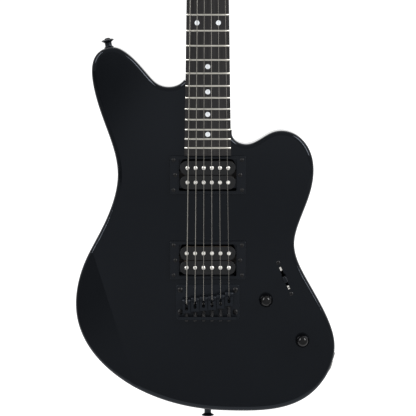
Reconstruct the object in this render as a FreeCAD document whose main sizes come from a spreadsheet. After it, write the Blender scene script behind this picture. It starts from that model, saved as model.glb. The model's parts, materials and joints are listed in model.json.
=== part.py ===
import FreeCAD, Part
import math
import os
import re
import Sketcher
from FreeCAD import Placement, Rotation, Vector

# Solid-body electric guitar with a bolt-on neck, two humbucking pickups and a fixed,
# string-through bridge.
#
# Frame: the guitar stands upright and is seen from its front.  X points right, Z points
# from the tail to the headstock and Y points to the back.  The origin is the seat of the
# tail strap button, on the centre line and in the middle of the body's thickness.

doc = FreeCAD.newDocument("ElectricGuitar")

# ------------------------------------------------------------------ driving sizes, in mm
SIZES = [
    ("body_width", 318, "overall width of the body"),
    ("body_length", 444, "tail to tip of the upper horn"),
    ("body_thick", 45, "thickness of the body"),
    ("body_round", 5.5, "radius of the rounded body edges"),
    ("joint_share", 0.7725, "where the treble cutaway meets the neck, share of body length"),
    ("bass_joint_share", 0.912, "where the bass cutaway meets the neck, share of body length"),
    ("bevel_depth", 10, "depth of the forearm bevel at the body's edge"),
    ("belly_depth", 11, "depth of the belly cut at the body's edge"),
    ("pocket_depth", 16, "depth of the neck pocket"),
    ("neck_overlap", 30, "length of the neck pocket below the treble cutaway"),
    ("corner_wall", 1.5, "wood left beside the neck where the outline ends"),
    ("fit_gap", 0.2, "clearance of the neck in its pocket and of covers in recesses"),
    ("scale_length", 647.7, "nut to the nominal string break at the bridge"),
    ("fret_count", 22, "number of frets"),
    ("board_overhang", 9.5, "fingerboard past the last fret"),
    ("nut_width", 42.9, "width of the neck at the nut"),
    ("board_end_width", 56.8, "width of the fingerboard at the body end"),
    ("board_thick", 6.5, "thickness of the fingerboard at its centre"),
    ("board_rise", 9.4, "fingerboard surface above the body's face"),
    ("board_radius", 305, "crown radius of the fingerboard"),
    ("neck_depth_nut", 14, "neck depth behind the fingerboard at the nut"),
    ("neck_depth_heel", 16.4, "neck depth behind the fingerboard at the heel"),
    ("neck_inset", 0.15, "neck set in from the fingerboard's edges"),
    ("heel_length", 97, "length of the square heel"),
    ("heel_round", 12, "radius at the top of the heel"),
    ("fret_width", 2.4, "width of a fret's crown"),
    ("fret_height", 1.2, "height of a fret's crown"),
    ("dot_size", 6, "diameter of a position dot"),
    ("dot_spacing", 25.9, "distance between the two dots at the twelfth fret"),
    ("side_dot_size", 2, "diameter of a side dot"),
    ("nut_thick", 3.5, "thickness of the nut"),
    ("nut_rise", 2.6, "nut above the fingerboard"),
    ("nut_spread", 35, "distance between the outer strings at the nut"),
    ("saddle_spread", 51.75, "distance between the outer strings at the bridge"),
    ("action_height", 14.2, "strings above the body's face at the bridge"),
    ("nut_action", 11, "strings above the body's face at the nut"),
    ("head_angle", 12, "backward tilt of the headstock, degrees"),
    ("head_length", 172, "length of the headstock"),
    ("head_width", 82, "greatest width of the headstock"),
    ("head_thick", 14.5, "thickness of the headstock"),
    ("rod_size", 6, "diameter of the truss rod"),
    ("ring_width", 93, "width of a pickup ring"),
    ("ring_height", 46.5, "height of a pickup ring"),
    ("ring_rise", 4.5, "pickup ring above the body's face"),
    ("ring_open_width", 70, "width of a pickup ring's opening"),
    ("ring_open_height", 39, "height of a pickup ring's opening"),
    ("ring_screw_x", 83.5, "ring screw spacing across"),
    ("ring_screw_z", 36.7, "ring screw spacing along"),
    ("ring_gap", 0.6, "gap between the fingerboard's end and the neck pickup's ring"),
    ("bridge_pickup_set", 44.2, "bridge pickup's centre above the string break"),
    ("height_screw_x", 79, "pickup height screw spacing"),
    ("bobbin_length", 67.5, "length of a bobbin"),
    ("bobbin_width", 16.8, "width of a bobbin"),
    ("bobbin_height", 11, "height of a bobbin"),
    ("bobbin_flange", 1.4, "thickness of a bobbin's top and bottom flange"),
    ("bobbin_screw_size", 1.3, "small hole at either end of a bobbin's row"),
    ("tray_height", 33, "height of a pickup's metal tray"),
    ("pole_row_gap", 17.6, "distance between the two rows of poles"),
    ("pole_size", 4.8, "diameter of a pole piece"),
    ("neck_pole_pitch", 9.9, "pole spacing of the neck pickup"),
    ("bridge_pole_pitch", 10.3, "pole spacing of the bridge pickup"),
    ("pickup_rise", 8.2, "top of the bobbins above the body's face"),
    ("route_depth", 20, "depth of a pickup route"),
    ("bridge_width", 78, "width of the bridge plate"),
    ("bridge_front", 14.5, "bridge plate's front edge above the string break"),
    ("bridge_rear", 28.5, "bridge plate's rear edge below the string break"),
    ("bridge_thick", 2, "thickness of the bridge plate"),
    ("bridge_wall", 3.4, "thickness of the bridge's rear wall"),
    ("bridge_wall_rise", 11, "height of the bridge's rear wall"),
    ("bridge_corner", 4, "corner radius of the bridge plate"),
    ("bridge_hole_x", 67.4, "bridge screw spacing across"),
    ("bridge_hole_front", 7.7, "front bridge screws above the string break"),
    ("bridge_hole_rear", 19.4, "rear bridge screws below the string break"),
    ("saddle_width", 9.6, "width of a saddle"),
    ("saddle_length", 17.6, "length of a saddle"),
    ("saddle_lead", 3.4, "saddle's front edge ahead of its string break"),
    ("saddle_foot", 4.2, "underside of a saddle above the body's face"),
    ("slot_width", 3.5, "width of a saddle's string slot"),
    ("notch_room", 0.7, "room beside and under a string in its saddle notch"),
    ("slot_length", 8.8, "length of a saddle's string slot"),
    ("intonation_size", 3, "diameter of an intonation screw"),
    ("intonation_rise", 8.4, "intonation screws above the body's face"),
    ("string_hole_set", 9.5, "string holes below the nominal string break"),
    ("ferrule_size", 9.5, "diameter of a string ferrule"),
    ("post_size", 6, "diameter of a tuner post"),
    ("post_rise", 15, "tuner post above the headstock's face"),
    ("post_first", 44, "first tuner above the nut"),
    ("post_pitch", 40, "distance between tuners on one side"),
    ("post_set", 26.5, "tuner post from the centre line"),
    ("gear_size", 8.4, "outer diameter of a tuner's gear"),
    ("gear_teeth", 15, "number of teeth of a tuner's gear"),
    ("worm_size", 4, "diameter of a tuner's worm shaft"),
    ("housing_width", 15, "width of a tuner housing across the head"),
    ("housing_height", 19, "height of a tuner housing along the head"),
    ("housing_depth", 11, "depth of a tuner housing"),
    ("button_length", 18, "length of a tuner button"),
    ("button_width", 21, "width of a tuner button"),
    ("button_thick", 8, "thickness of a tuner button"),
    ("run_gap", 0.05, "radial running clearance of a shaft in its bore"),
    ("free_gap", 0.3, "clearance between parts that pass each other"),
    ("volume_share_x", 0.2236, "volume knob across, share of body width"),
    ("volume_share_z", 0.3065, "volume knob along, share of body length"),
    ("tone_share_x", 0.3638, "tone knob across, share of body width"),
    ("tone_share_z", 0.1948, "tone knob along, share of body length"),
    ("switch_share_x", 0.2956, "selector switch across, share of body width"),
    ("switch_share_z", 0.3658, "selector switch along, share of body length"),
    ("switch_tilt", 23, "tilt of the selector switch, degrees"),
    ("knob_size", 18.4, "diameter of a knob at its base"),
    ("knob_height", 16.5, "height of a knob"),
    ("knob_lift", 1, "gap under a knob"),
    ("pot_size", 24, "diameter of a potentiometer's can"),
    ("pot_height", 11, "height of a potentiometer's can"),
    ("pot_shaft", 6, "diameter of a potentiometer's shaft"),
    ("cavity_roof", 8, "wood left above the control cavity"),
    ("cavity_reach", 17, "radius of the control cavity around a control"),
    ("switch_reach", 12, "radius of the control cavity around the switch"),
    ("cover_lap", 5.5, "control cover past the cavity's edge"),
    ("cover_thick", 2.2, "thickness of the control cover"),
    ("switch_length", 50, "length of the switch's frame"),
    ("switch_screw_span", 41.3, "distance between the switch's screws"),
    ("switch_slot_length", 31, "length of the switch's slot in the body"),
    ("switch_slot_width", 3.2, "width of the switch's slot in the body"),
    ("switch_pivot_depth", 14, "switch lever's pivot below the body's face"),
    ("jack_share_z", 0.115, "output jack along, share of body length"),
    ("jack_bore", 6.5, "bore of the output jack"),
    ("jack_barrel", 9.4, "outer diameter of the output jack's bushing"),
    ("jack_plate_size", 36, "size of the jack plate"),
    ("strap_head", 15.8, "diameter of a strap button's head"),
    ("strap_neck", 8.5, "diameter of a strap button's waist"),
    ("strap_height", 11, "height of a strap button"),
]

sheet = doc.addObject("Spreadsheet::Sheet", "Sizes")
for row, (alias, number, note) in enumerate(SIZES, start=1):
    sheet.set(f"A{row}", alias)
    sheet.set(f"B{row}", str(number))
    sheet.setAlias(f"B{row}", alias)
    sheet.set(f"C{row}", note)
doc.recompute()

ALIASES = {alias for alias, number, note in SIZES}

# Places that follow from the sizes.  Each is an expression over the sheet's aliases.
FACE_Y = "(-body_thick / 2)"
BACK_Y = "(body_thick / 2)"
JOINT_Z = "(body_length * joint_share)"
HEEL_Z = f"({JOINT_Z} - neck_overlap)"
BRIDGE_Z = f"({HEEL_Z} + board_overhang - scale_length * 2 ^ (-fret_count / 12))"
NUT_Z = f"({BRIDGE_Z} + scale_length)"
BOARD_LENGTH = f"({NUT_Z} - {HEEL_Z})"
BOARD_BACK_Y = f"({FACE_Y} - board_rise + board_thick)"
BOARD_TOP_Y = f"({FACE_Y} - board_rise)"
NECK_PICKUP_Z = f"({HEEL_Z} - ring_gap - ring_height / 2)"
BRIDGE_PICKUP_Z = f"({BRIDGE_Z} + bridge_pickup_set)"
STRING_HOLE_Z = f"({BRIDGE_Z} - string_hole_set)"
HINGE_Z = f"({NUT_Z} + nut_thick)"
VOLUME = ("(body_width * volume_share_x)", "(body_length * volume_share_z)")
TONE = ("(body_width * tone_share_x)", "(body_length * tone_share_z)")
SWITCH = ("(body_width * switch_share_x)", "(body_length * switch_share_z)")
CAVITY_FLOOR_Y = f"({FACE_Y} + cavity_roof)"


# ------------------------------------------------------------------------ small helpers
def with_sheet(expression):
    """Put the sheet's name before every alias of an expression."""
    return re.sub(r"[A-Za-z_]+", lambda word: f"Sizes.{word[0]}" if word[0] in ALIASES
                  else word[0], str(expression))


def value(expression):
    """The number that an expression has with the sheet's present sizes."""
    result = sheet.evalExpression(with_sheet(expression))
    return float(getattr(result, "Value", result))


def bind(item, **properties):
    """Bind properties to expressions; a double underscore stands for a dot."""
    for name, expression in properties.items():
        item.setExpression(name.replace("__", "."), with_sheet(expression))
    return item


def place(item, x="0", y="0", z="0", turn=None):
    """Bind an item's position, with a fixed turn if one is given."""
    if turn is not None:
        item.Placement = Placement(Vector(), turn)
    return bind(item, Placement__Base__x=x, Placement__Base__y=y, Placement__Base__z=z)


UPRIGHT = Rotation()
FORWARD = Rotation(Vector(1, 0, 0), 90)       # a cylinder's axis to -Y
BACKWARD = Rotation(Vector(1, 0, 0), -90)     # a cylinder's axis to +Y
SIDEWAYS = Rotation(Vector(0, 1, 0), 90)      # a cylinder's axis to +X
DOWNWARD = Rotation(Vector(1, 0, 0), 180)     # a cylinder's axis to -Z


def box(name, width, depth, height, x, y, z):
    """A box centred on x, from y to y + depth and from z to z + height."""
    item = doc.addObject("Part::Box", name)
    bind(item, Length=width, Width=depth, Height=height)
    return place(item, f"{x} - ({width}) / 2", y, z)


def rod(name, radius, length, x, y, z, turn=UPRIGHT):
    """A cylinder that starts at x, y, z."""
    item = doc.addObject("Part::Cylinder", name)
    bind(item, Radius=radius, Height=length)
    return place(item, x, y, z, turn)


def cone(name, radius_start, radius_end, length, x, y, z, turn=UPRIGHT):
    item = doc.addObject("Part::Cone", name)
    bind(item, Radius1=radius_start, Radius2=radius_end, Height=length)
    return place(item, x, y, z, turn)


def fuse(name, *items):
    item = doc.addObject("Part::MultiFuse", name)
    item.Shapes = list(items)
    return item


def cut(name, base, *tools):
    item = doc.addObject("Part::Cut", name)
    item.Base = base
    item.Tool = tools[0] if len(tools) == 1 else fuse(f"{name}_tools", *tools)
    return item


def common(name, first, second):
    item = doc.addObject("Part::MultiCommon", name)
    item.Shapes = [first, second]
    return item


def group(name, *items):
    """Separate solids that share one node."""
    item = doc.addObject("Part::Compound", name)
    item.Links = list(items)
    return item


def copies(name, template, spots):
    """Links to one template, one per spot; a spot is x, y, z and a turn."""
    items = []
    for number, (x, y, z, turn) in enumerate(spots, start=1):
        item = doc.addObject("App::Link", f"{name}_{number}")
        item.LinkedObject = template
        place(item, x, y, z, turn)
        items.append(item)
    return items


def sketch_in(body, name, plane="XZ_Plane", offset="0"):
    """An empty sketch on one of a body's origin planes, moved along its normal."""
    sketch = body.newObject("Sketcher::SketchObject", name)
    for feature in body.Origin.OriginFeatures:
        if feature.Role == plane:
            sketch.AttachmentSupport = [(feature, "")]
    sketch.MapMode = "FlatFace"
    bind(sketch, AttachmentOffset__Base__z=offset)
    return sketch


def fix(sketch, kind, *place_and_size):
    """A sketch constraint whose size is bound to an expression."""
    expression = place_and_size[-1]
    index = sketch.addConstraint(Sketcher.Constraint(kind, *place_and_size[:-1],
                                                     value(expression)))
    sketch.setExpression(f"Constraints[{index}]", with_sheet(expression))


def circle(sketch, x, z, radius):
    spot = Vector(value(x), value(z), 0)
    index = sketch.addGeometry(Part.Circle(spot, Vector(0, 0, 1), value(radius)), False)
    fix(sketch, "Radius", index, radius)
    fix(sketch, "DistanceX", -1, 1, index, 3, x)
    fix(sketch, "DistanceY", -1, 1, index, 3, z)


def capsule(sketch, start, end, radius):
    """Two half circles joined by straight sides."""
    ends = [Vector(value(start[0]), value(start[1]), 0), Vector(value(end[0]), value(end[1]), 0)]
    r = value(radius)
    angle = math.atan2(ends[1].y - ends[0].y, ends[1].x - ends[0].x)
    side = Vector(-math.sin(angle), math.cos(angle), 0) * r
    up = Vector(0, 0, 1)
    shapes = [
        Part.ArcOfCircle(Part.Circle(ends[0], up, r), angle + math.pi / 2, angle + math.pi * 1.5),
        Part.LineSegment(ends[0] - side, ends[1] - side),
        Part.ArcOfCircle(Part.Circle(ends[1], up, r), angle - math.pi / 2, angle + math.pi / 2),
        Part.LineSegment(ends[1] + side, ends[0] + side)]
    first = sketch.addGeometry(shapes, False)[0]
    joins = [(first, 2, first + 1, 1), (first + 1, 2, first + 2, 1),
             (first + 2, 2, first + 3, 1), (first + 3, 2, first, 1)]
    for join in joins:
        sketch.addConstraint(Sketcher.Constraint("Tangent", *join))
    fix(sketch, "Radius", first, radius)
    for index, spot in ((first, start), (first + 2, end)):
        fix(sketch, "DistanceX", -1, 1, index, 3, spot[0])
        fix(sketch, "DistanceY", -1, 1, index, 3, spot[1])


def rounded_rectangle(sketch, width, height, radius, x="0", z="0"):
    """A rectangle with round corners, centred on x, z."""
    w, h, r = value(width) / 2, value(height) / 2, value(radius)
    middle = Vector(value(x), value(z), 0)
    corners = [Vector(w - r, h - r, 0), Vector(r - w, h - r, 0),
               Vector(r - w, r - h, 0), Vector(w - r, r - h, 0)]
    shapes = []
    for quarter, corner in enumerate(corners):
        start = quarter * math.pi / 2
        ring = Part.Circle(middle + corner, Vector(0, 0, 1), r)
        shapes.append(Part.ArcOfCircle(ring, start, start + math.pi / 2))
    for quarter in range(4):
        shapes.append(Part.LineSegment(shapes[quarter].EndPoint, shapes[(quarter + 1) % 4].StartPoint))
    first = sketch.addGeometry(shapes, False)[0]
    for quarter in range(4):
        line = first + 4 + quarter
        sketch.addConstraint(Sketcher.Constraint("Tangent", first + quarter, 2, line, 1))
        sketch.addConstraint(Sketcher.Constraint("Tangent", line, 2, first + (quarter + 1) % 4, 1))
        kind = "Horizontal" if quarter % 2 == 0 else "Vertical"
        sketch.addConstraint(Sketcher.Constraint(kind, line))
        if quarter:
            sketch.addConstraint(Sketcher.Constraint("Equal", first, first + quarter))
    fix(sketch, "Radius", first, radius)
    fix(sketch, "DistanceX", first + 2, 3, first, 3, f"({width}) - 2 * ({radius})")
    fix(sketch, "DistanceY", first + 2, 3, first, 3, f"({height}) - 2 * ({radius})")
    fix(sketch, "DistanceX", -1, 1, first, 3, f"{x} + ({width}) / 2 - ({radius})")
    fix(sketch, "DistanceY", -1, 1, first, 3, f"{z} + ({height}) / 2 - ({radius})")


def prism(name, draw, back, depth, round_front=None):
    """A body padded from the plane Y = back towards the front, over a drawn outline."""
    body = doc.addObject("PartDesign::Body", name)
    sketch = sketch_in(body, f"{name}_outline", offset=f"-({back})")
    draw(sketch)
    pad = body.newObject("PartDesign::Pad", f"{name}_pad")
    pad.Profile = sketch
    bind(pad, Length=depth)
    if round_front:
        doc.recompute()
        front = min(edge.BoundBox.YMin for edge in pad.Shape.Edges)
        rims = [f"Edge{index}" for index, edge in enumerate(pad.Shape.Edges, start=1)
                if edge.BoundBox.YMax < front + 0.001]
        fillet = body.newObject("PartDesign::Fillet", f"{name}_round")
        fillet.Base = (pad, rims)
        bind(fillet, Radius=round_front)
    return body


def slab(name, width_low, width_high, height, depth, y, z):
    """A slab that tapers from its lower end to its upper end, with its back at y."""
    item = doc.addObject("Part::Wedge", name)
    bind(item, Xmin=f"-({width_low}) / 2", Xmax=f"({width_low}) / 2",
         X2min=f"-({width_high}) / 2", X2max=f"({width_high}) / 2",
         Ymin="0", Ymax=height, Zmin="0", Zmax=depth, Z2min="0", Z2max=depth)
    return place(item, "0", y, z, FORWARD)


def screw(name, head_radius, head_height, shank_radius, shank_length):
    """A cross-head screw whose head sits at the origin and looks to the front."""
    rim = rod(f"{name}_rim", head_radius, f"({head_height}) * 0.45", "0", "0", "0", FORWARD)
    dome = cone(f"{name}_dome", head_radius, f"({head_radius}) * 0.6", f"({head_height}) * 0.55",
                "0", f"-({head_height}) * 0.45", "0", FORWARD)
    slots = []
    for number, (wide, tall) in enumerate([("0.22", "1.2"), ("1.2", "0.22")], start=1):
        slots.append(box(f"{name}_slot_{number}", f"({head_radius}) * {wide}",
                         f"({head_height})", f"({head_radius}) * {tall}", "0",
                         f"-({head_height}) * 1.5", f"-({head_radius}) * {tall} / 2"))
    shank = rod(f"{name}_shank", shank_radius, shank_length, "0", "0", "0", BACKWARD)
    return cut(name, fuse(f"{name}_solid", rim, dome, shank), *slots)


NODES = {}


def node(name, item):
    """Give a finished sub-part its node name."""
    item.Label = name
    NODES[name] = item
    return item


# --------------------------------------------------------------------------------- body
# Points of the outline as shares of the body's width and length, from the treble cutaway
# clockwise round the tail to the bass cutaway.
OUTLINE = [
    (0.102, 0.748), (0.145, 0.735), (0.253, 0.769), (0.325, 0.766), (0.387, 0.724),
    (0.398, 0.613), (0.347, 0.510), (0.333, 0.462), (0.382, 0.361), (0.457, 0.262),
    (0.490, 0.176), (0.392, 0.040), (0.113, -0.004), (0, 0), (-0.277, 0.059),
    (-0.473, 0.188), (-0.503, 0.245), (-0.469, 0.417), (-0.421, 0.483), (-0.346, 0.646),
    (-0.434, 0.881), (-0.414, 0.989), (-0.352, 1), (-0.318, 0.989), (-0.226, 0.923),
    (-0.189, 0.899), (-0.119, 0.896)]


def board_width_at(z):
    """Width of the fingerboard, which tapers towards the nut."""
    return f"(nut_width + (board_end_width - nut_width) * ({NUT_Z} - ({z})) / {BOARD_LENGTH})"


def outline_curve():
    """The body's outline as one smooth curve between its two corners at the neck."""
    treble_z = value(JOINT_Z)
    bass_z = value("body_length * bass_joint_share")
    lip = value("corner_wall")
    points = [Vector(value(board_width_at(treble_z)) / 2 + lip, treble_z, 0)]
    points += [Vector(x * value("body_width"), z * value("body_length"), 0) for x, z in OUTLINE]
    points.append(Vector(-value(board_width_at(bass_z)) / 2 - lip, bass_z, 0))
    curve = Part.BSplineCurve()
    curve.interpolate(points)
    return curve


def body_outline(sketch):
    curve = outline_curve()
    closing = Part.LineSegment(curve.EndPoint, curve.StartPoint)
    sketch.addGeometry([curve, closing], False)
    sketch.addConstraint(Sketcher.Constraint("Coincident", 0, 2, 1, 1))
    sketch.addConstraint(Sketcher.Constraint("Coincident", 1, 2, 0, 1))


def rim_frame(share_x, share_z):
    """A placement on the rim: its origin on the outline, its Z axis straight outwards."""
    curve = outline_curve()
    near = Vector(value(f"body_width * {share_x}"), value(f"body_length * {share_z}"), 0)
    at = curve.parameter(near)
    spot, along = curve.value(at), curve.tangent(at)[0]
    outward = Vector(along.y, 0, -along.x)
    middle = Vector(0, 0, value("body_length") * 0.45)
    if outward.dot(Vector(spot.x, 0, spot.y) - middle) < 0:
        outward = -outward
    turn = Rotation(Vector(0, 0, 1), outward)
    return Placement(Vector(spot.x, 0, spot.y), turn)


def make_body_blank():
    """The padded outline with its forearm bevel, belly cut and rounded edges."""
    body = prism("body_blank", body_outline, BACK_Y, "body_thick")
    width, length = value("body_width"), value("body_length")
    face, back = value(FACE_Y), value(BACK_Y)

    # Forearm bevel: a plane that leaves the face along a crease and falls to the rim.
    upper = Vector(-0.425 * width, face, 0.40 * length)
    lower = Vector(-0.279 * width, face, 0.07 * length)
    bevel = body.newObject("PartDesign::SubtractiveBox", "forearm_bevel")
    bind(bevel, Length="body_width", Width="body_length * 2", Height="body_thick")
    crease = (upper - lower).normalize()
    inward = Vector(0, -1, 0).cross(crease).normalize()
    if inward.x < 0:
        inward = -inward
    slope = math.atan(value("bevel_depth") / (0.135 * width))
    fall = inward * math.cos(slope) - Vector(0, 1, 0) * math.sin(slope)
    normal = fall.cross(crease).normalize()
    if normal.y > 0:
        normal = -normal
    turn = Rotation(fall, crease, normal, "ZXY")
    corner = lower - fall * width - crease * length
    bevel.Placement = Placement(corner, turn)

    # Belly cut: a wide trough across the waist that runs out towards the middle.
    trough = body.newObject("PartDesign::SubtractiveCylinder", "belly_cut")
    bind(trough, Radius="body_length / 3", Height="body_width")
    rim = Vector(-0.346 * width, back - value("belly_depth"), 0.61 * length)
    run = Vector(0.19 * width, value("belly_depth"), 0).normalize()
    rise = Vector(-run.y, run.x, 0)
    start = rim + rise * value("body_length") / 3 - run * 0.4 * width
    trough.Placement = Placement(start, Rotation(Vector(0, 0, 1), run))
    doc.recompute()

    # Rounded edges: where the rim meets the front and the back.
    rims = []
    edges = trough.Shape.Edges
    for face_shape in trough.Shape.Faces:
        if face_shape.Surface.TypeId in ("Part::GeomPlane", "Part::GeomCylinder"):
            continue
        for edge in face_shape.Edges:
            if edge.BoundBox.ZLength + edge.BoundBox.XLength > 1:
                number = [other.isSame(edge) for other in edges].index(True) + 1
                rims.append(f"Edge{number}")
    fillet = body.newObject("PartDesign::Fillet", "rounded_edges")
    fillet.Base = (trough, rims)
    bind(fillet, Radius="body_round")
    doc.recompute()
    return body


body_blank = make_body_blank()


# --------------------------------------------------------------------------------- neck
def neck_section(body, name, width, depth, z):
    """A D-shaped neck section: flat in front, half an ellipse behind."""
    sketch = sketch_in(body, name, plane="XY_Plane", offset=z)
    middle = Vector(0, value(BOARD_BACK_Y), 0)
    half, deep = value(width) / 2 - value("neck_inset"), value(depth)
    oval = Part.Ellipse(middle, half, deep)
    sketch.addGeometry([Part.ArcOfEllipse(oval, 0, math.pi),
                        Part.LineSegment(middle - Vector(half, 0, 0), middle + Vector(half, 0, 0))],
                       False)
    sketch.addConstraint(Sketcher.Constraint("Coincident", 0, 2, 1, 1))
    sketch.addConstraint(Sketcher.Constraint("Coincident", 1, 2, 0, 1))
    return sketch


def make_neck_shaft():
    body = doc.addObject("PartDesign::Body", "neck_shaft")
    low = f"({HEEL_Z} + heel_length - heel_round * 1.5)"
    high = f"({HINGE_Z} + 1)"
    heel_section = neck_section(body, "heel_section", board_width_at(low), "neck_depth_heel", low)
    nut_section = neck_section(body, "nut_section", board_width_at(high), "neck_depth_nut", high)
    loft = body.newObject("PartDesign::AdditiveLoft", "neck_loft")
    loft.Profile = heel_section
    loft.Sections = [nut_section]
    loft.Ruled = True
    return body


def make_heel():
    """The square heel, rounded where it runs into the neck."""
    body = doc.addObject("PartDesign::Body", "heel_block")
    wedge = body.newObject("PartDesign::AdditiveWedge", "heel_wedge")
    width_high = board_width_at(f"{HEEL_Z} + heel_length")
    depth = f"(pocket_depth - {BOARD_BACK_Y} + {FACE_Y})"
    bind(wedge, Xmin="-board_end_width / 2", Xmax="board_end_width / 2",
         X2min=f"-{width_high} / 2", X2max=f"{width_high} / 2",
         Ymin="0", Ymax="heel_length", Zmin="0", Zmax=depth, Z2min="0", Z2max=depth)
    place(wedge, "0", f"{FACE_Y} + pocket_depth", HEEL_Z, FORWARD)
    doc.recompute()
    top = value(f"{HEEL_Z} + heel_length")
    back = value(f"{FACE_Y} + pocket_depth")
    number = [index for index, edge in enumerate(wedge.Shape.Edges, start=1)
              if edge.BoundBox.ZMin > top - 0.01 and edge.BoundBox.YMin > back - 0.01]
    fillet = body.newObject("PartDesign::Fillet", "heel_rounding")
    fillet.Base = (wedge, [f"Edge{number[0]}"])
    bind(fillet, Radius="heel_round")
    return body


# Right half of the headstock's outline: shares of its half width and of its length.
HEAD_SIDE = [(0.54, 0.06), (0.74, 0.14), (0.96, 0.235), (1, 0.34), (0.94, 0.62), (0.9, 0.85),
             (0.79, 0.945), (0.52, 0.955), (0.25, 0.975)]


def head_outline(sketch):
    """A plain paddle for three tuners a side, with a gently waved crown."""
    half, length = value("head_width") / 2, value("head_length")
    foot = value("nut_width") / 2 - 3 * value("neck_inset")
    side = [Vector(foot, -2, 0)] + [Vector(x * half, z * length, 0) for x, z in HEAD_SIDE]
    other = [Vector(-point.x, point.y, 0) for point in reversed(side)]
    curve = Part.BSplineCurve()
    curve.interpolate(side + [Vector(0, length, 0)] + other)
    sketch.addGeometry([curve, Part.LineSegment(curve.EndPoint, curve.StartPoint)], False)
    sketch.addConstraint(Sketcher.Constraint("Coincident", 0, 2, 1, 1))
    sketch.addConstraint(Sketcher.Constraint("Coincident", 1, 2, 0, 1))


def tilt(item):
    """Lean a piece that was built in the headstock's own frame back at the nut."""
    item.Placement = Placement(Vector(), Rotation(Vector(-1, 0, 0), value("head_angle")))
    return bind(item, Placement__Base__y=BOARD_BACK_Y, Placement__Base__z=HINGE_Z,
                Placement__Rotation__Angle="head_angle")


def string_share(string):
    """Place of a string across the strings, from -0.5 for the lowest to 0.5."""
    return string / 5 - 0.5


TUNERS = [(side, number) for side in (-1, 1) for number in range(3)]


def tuner_spot(side, number):
    """Across and along the headstock, in its own frame."""
    return f"({side} * post_set)", f"(post_first + {number} * post_pitch)"


shaft = make_neck_shaft()
heel = make_heel()
head_blank = prism("head_blank", head_outline, "head_thick", "head_thick", round_front="1.2")
bushing_holes = []
for side, number in TUNERS:
    across, along = tuner_spot(side, number)
    bushing_holes.append(rod(f"bushing_hole_{side}_{number}", "post_size / 2 + 1.6 + run_gap",
                             "head_thick + 2", across, "-1", along, BACKWARD))
rod_pocket = box("rod_pocket", "11", "8", "34", "0", "-1", "-8")
head = tilt(cut("head", head_blank, rod_pocket, *bushing_holes))
rod_channel = box("rod_channel", "rod_size + 0.4", "rod_size + 2.8", f"{BOARD_LENGTH} - 4",
                  "0", f"{BOARD_BACK_Y} - 1", f"{HEEL_Z} + 12")

NECK_SCREWS = [(-17, 12), (17, 12), (-17, 60), (3, 36)]
neck_pilots = []
for number, (across, along) in enumerate(NECK_SCREWS, start=1):
    neck_pilots.append(rod(f"neck_pilot_{number}", "2.1", "14", str(across),
                           f"{FACE_Y} + pocket_depth + 0.5", f"{HEEL_Z} + {along}", FORWARD))
nut_ledge = box("nut_ledge", "nut_width * 2", "20", "nut_thick", "0", f"{BOARD_BACK_Y} - 20", NUT_Z)
neck = cut("neck_cut", fuse("neck_blank", shaft, heel, head), rod_channel, nut_ledge, *neck_pilots)
node("neck", neck)

# Fingerboard: a tapered slab under a cylindrical crown, inlaid with dots.
board_slab = slab("board_slab", "board_end_width", "nut_width", BOARD_LENGTH, "board_thick",
                  BOARD_BACK_Y, HEEL_Z)
crown = rod("board_crown", "board_radius", BOARD_LENGTH, "0", f"{BOARD_TOP_Y} + board_radius",
            HEEL_Z)
board_blank = common("board_blank", board_slab, crown)


def fret_z(number):
    return f"({BRIDGE_Z} + scale_length * 2 ^ (-({number}) / 12))"


def between_frets(number):
    return f"(({fret_z(number)} + {fret_z(number - 1)}) / 2)"


SINGLE_DOTS = [3, 5, 7, 9, 15, 17, 19, 21]
dot_spots = [("0", between_frets(number)) for number in SINGLE_DOTS]
dot_spots += [(f"({side} * dot_spacing / 2)", between_frets(12)) for side in (-1, 1)]
dot_rods = [rod(f"dot_{number}", "dot_size / 2", "6", across, f"{BOARD_TOP_Y} + 2", along, FORWARD)
            for number, (across, along) in enumerate(dot_spots, start=1)]
side_dot_rods = []
for fret in SINGLE_DOTS + [12]:
    edge = f"-{board_width_at(between_frets(fret))} / 2 - 1"
    side_dot_rods.append(rod(f"side_dot_{fret}", "side_dot_size / 2", "2.4", edge,
                             f"{BOARD_TOP_Y} + 3.4", between_frets(fret), SIDEWAYS))
inlays = fuse("inlays", *dot_rods, *side_dot_rods)
node("fingerboard", cut("board_cut", board_blank, inlays))
node("position_markers", common("markers", board_blank, inlays))


def make_fret(number):
    """A half-round crown that follows the fingerboard's curve."""
    z = fret_z(number)
    ring = doc.addObject("Part::Torus", f"fret_ring_{number}")
    bind(ring, Radius1="board_radius", Radius2="fret_height")
    place(ring, "0", f"{BOARD_TOP_Y} + board_radius", z)
    seat = rod(f"fret_seat_{number}", "board_radius", "fret_width * 2", "0",
               f"{BOARD_TOP_Y} + board_radius", f"{z} - fret_width")
    reach = box(f"fret_reach_{number}", f"{board_width_at(z)} - 0.3", "10", "fret_width * 2", "0",
                f"{BOARD_TOP_Y} - 5", f"{z} - fret_width")
    return common(f"fret_{number}", cut(f"fret_crown_{number}", ring, seat), reach)


frets = [make_fret(number) for number in range(1, int(value("fret_count")) + 1)]
node("frets", group("fret_set", *frets))

# Strings: radius of each and where its saddle is set for intonation.
STRING_RADII = [0.58, 0.46, 0.33, 0.22, 0.17, 0.13]
INTONATION = [-5.7, -3.5, -2.3, -1.5, 0.2, 3.3]
NOTCH_RUN = 2.3                                # a string lies in its saddle's notch this far
NOTCH_DROP = 1.5                               # and sinks this much before it turns down


def crown_drop(x):
    """How far a string lies below the middle of the fingerboard's curve."""
    return f"(({x}) ^ 2 / (2 * board_radius))"


def nut_x(string):
    return f"({string_share(string)} * nut_spread)"


def saddle_x(string):
    return f"({string_share(string)} * saddle_spread)"


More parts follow.
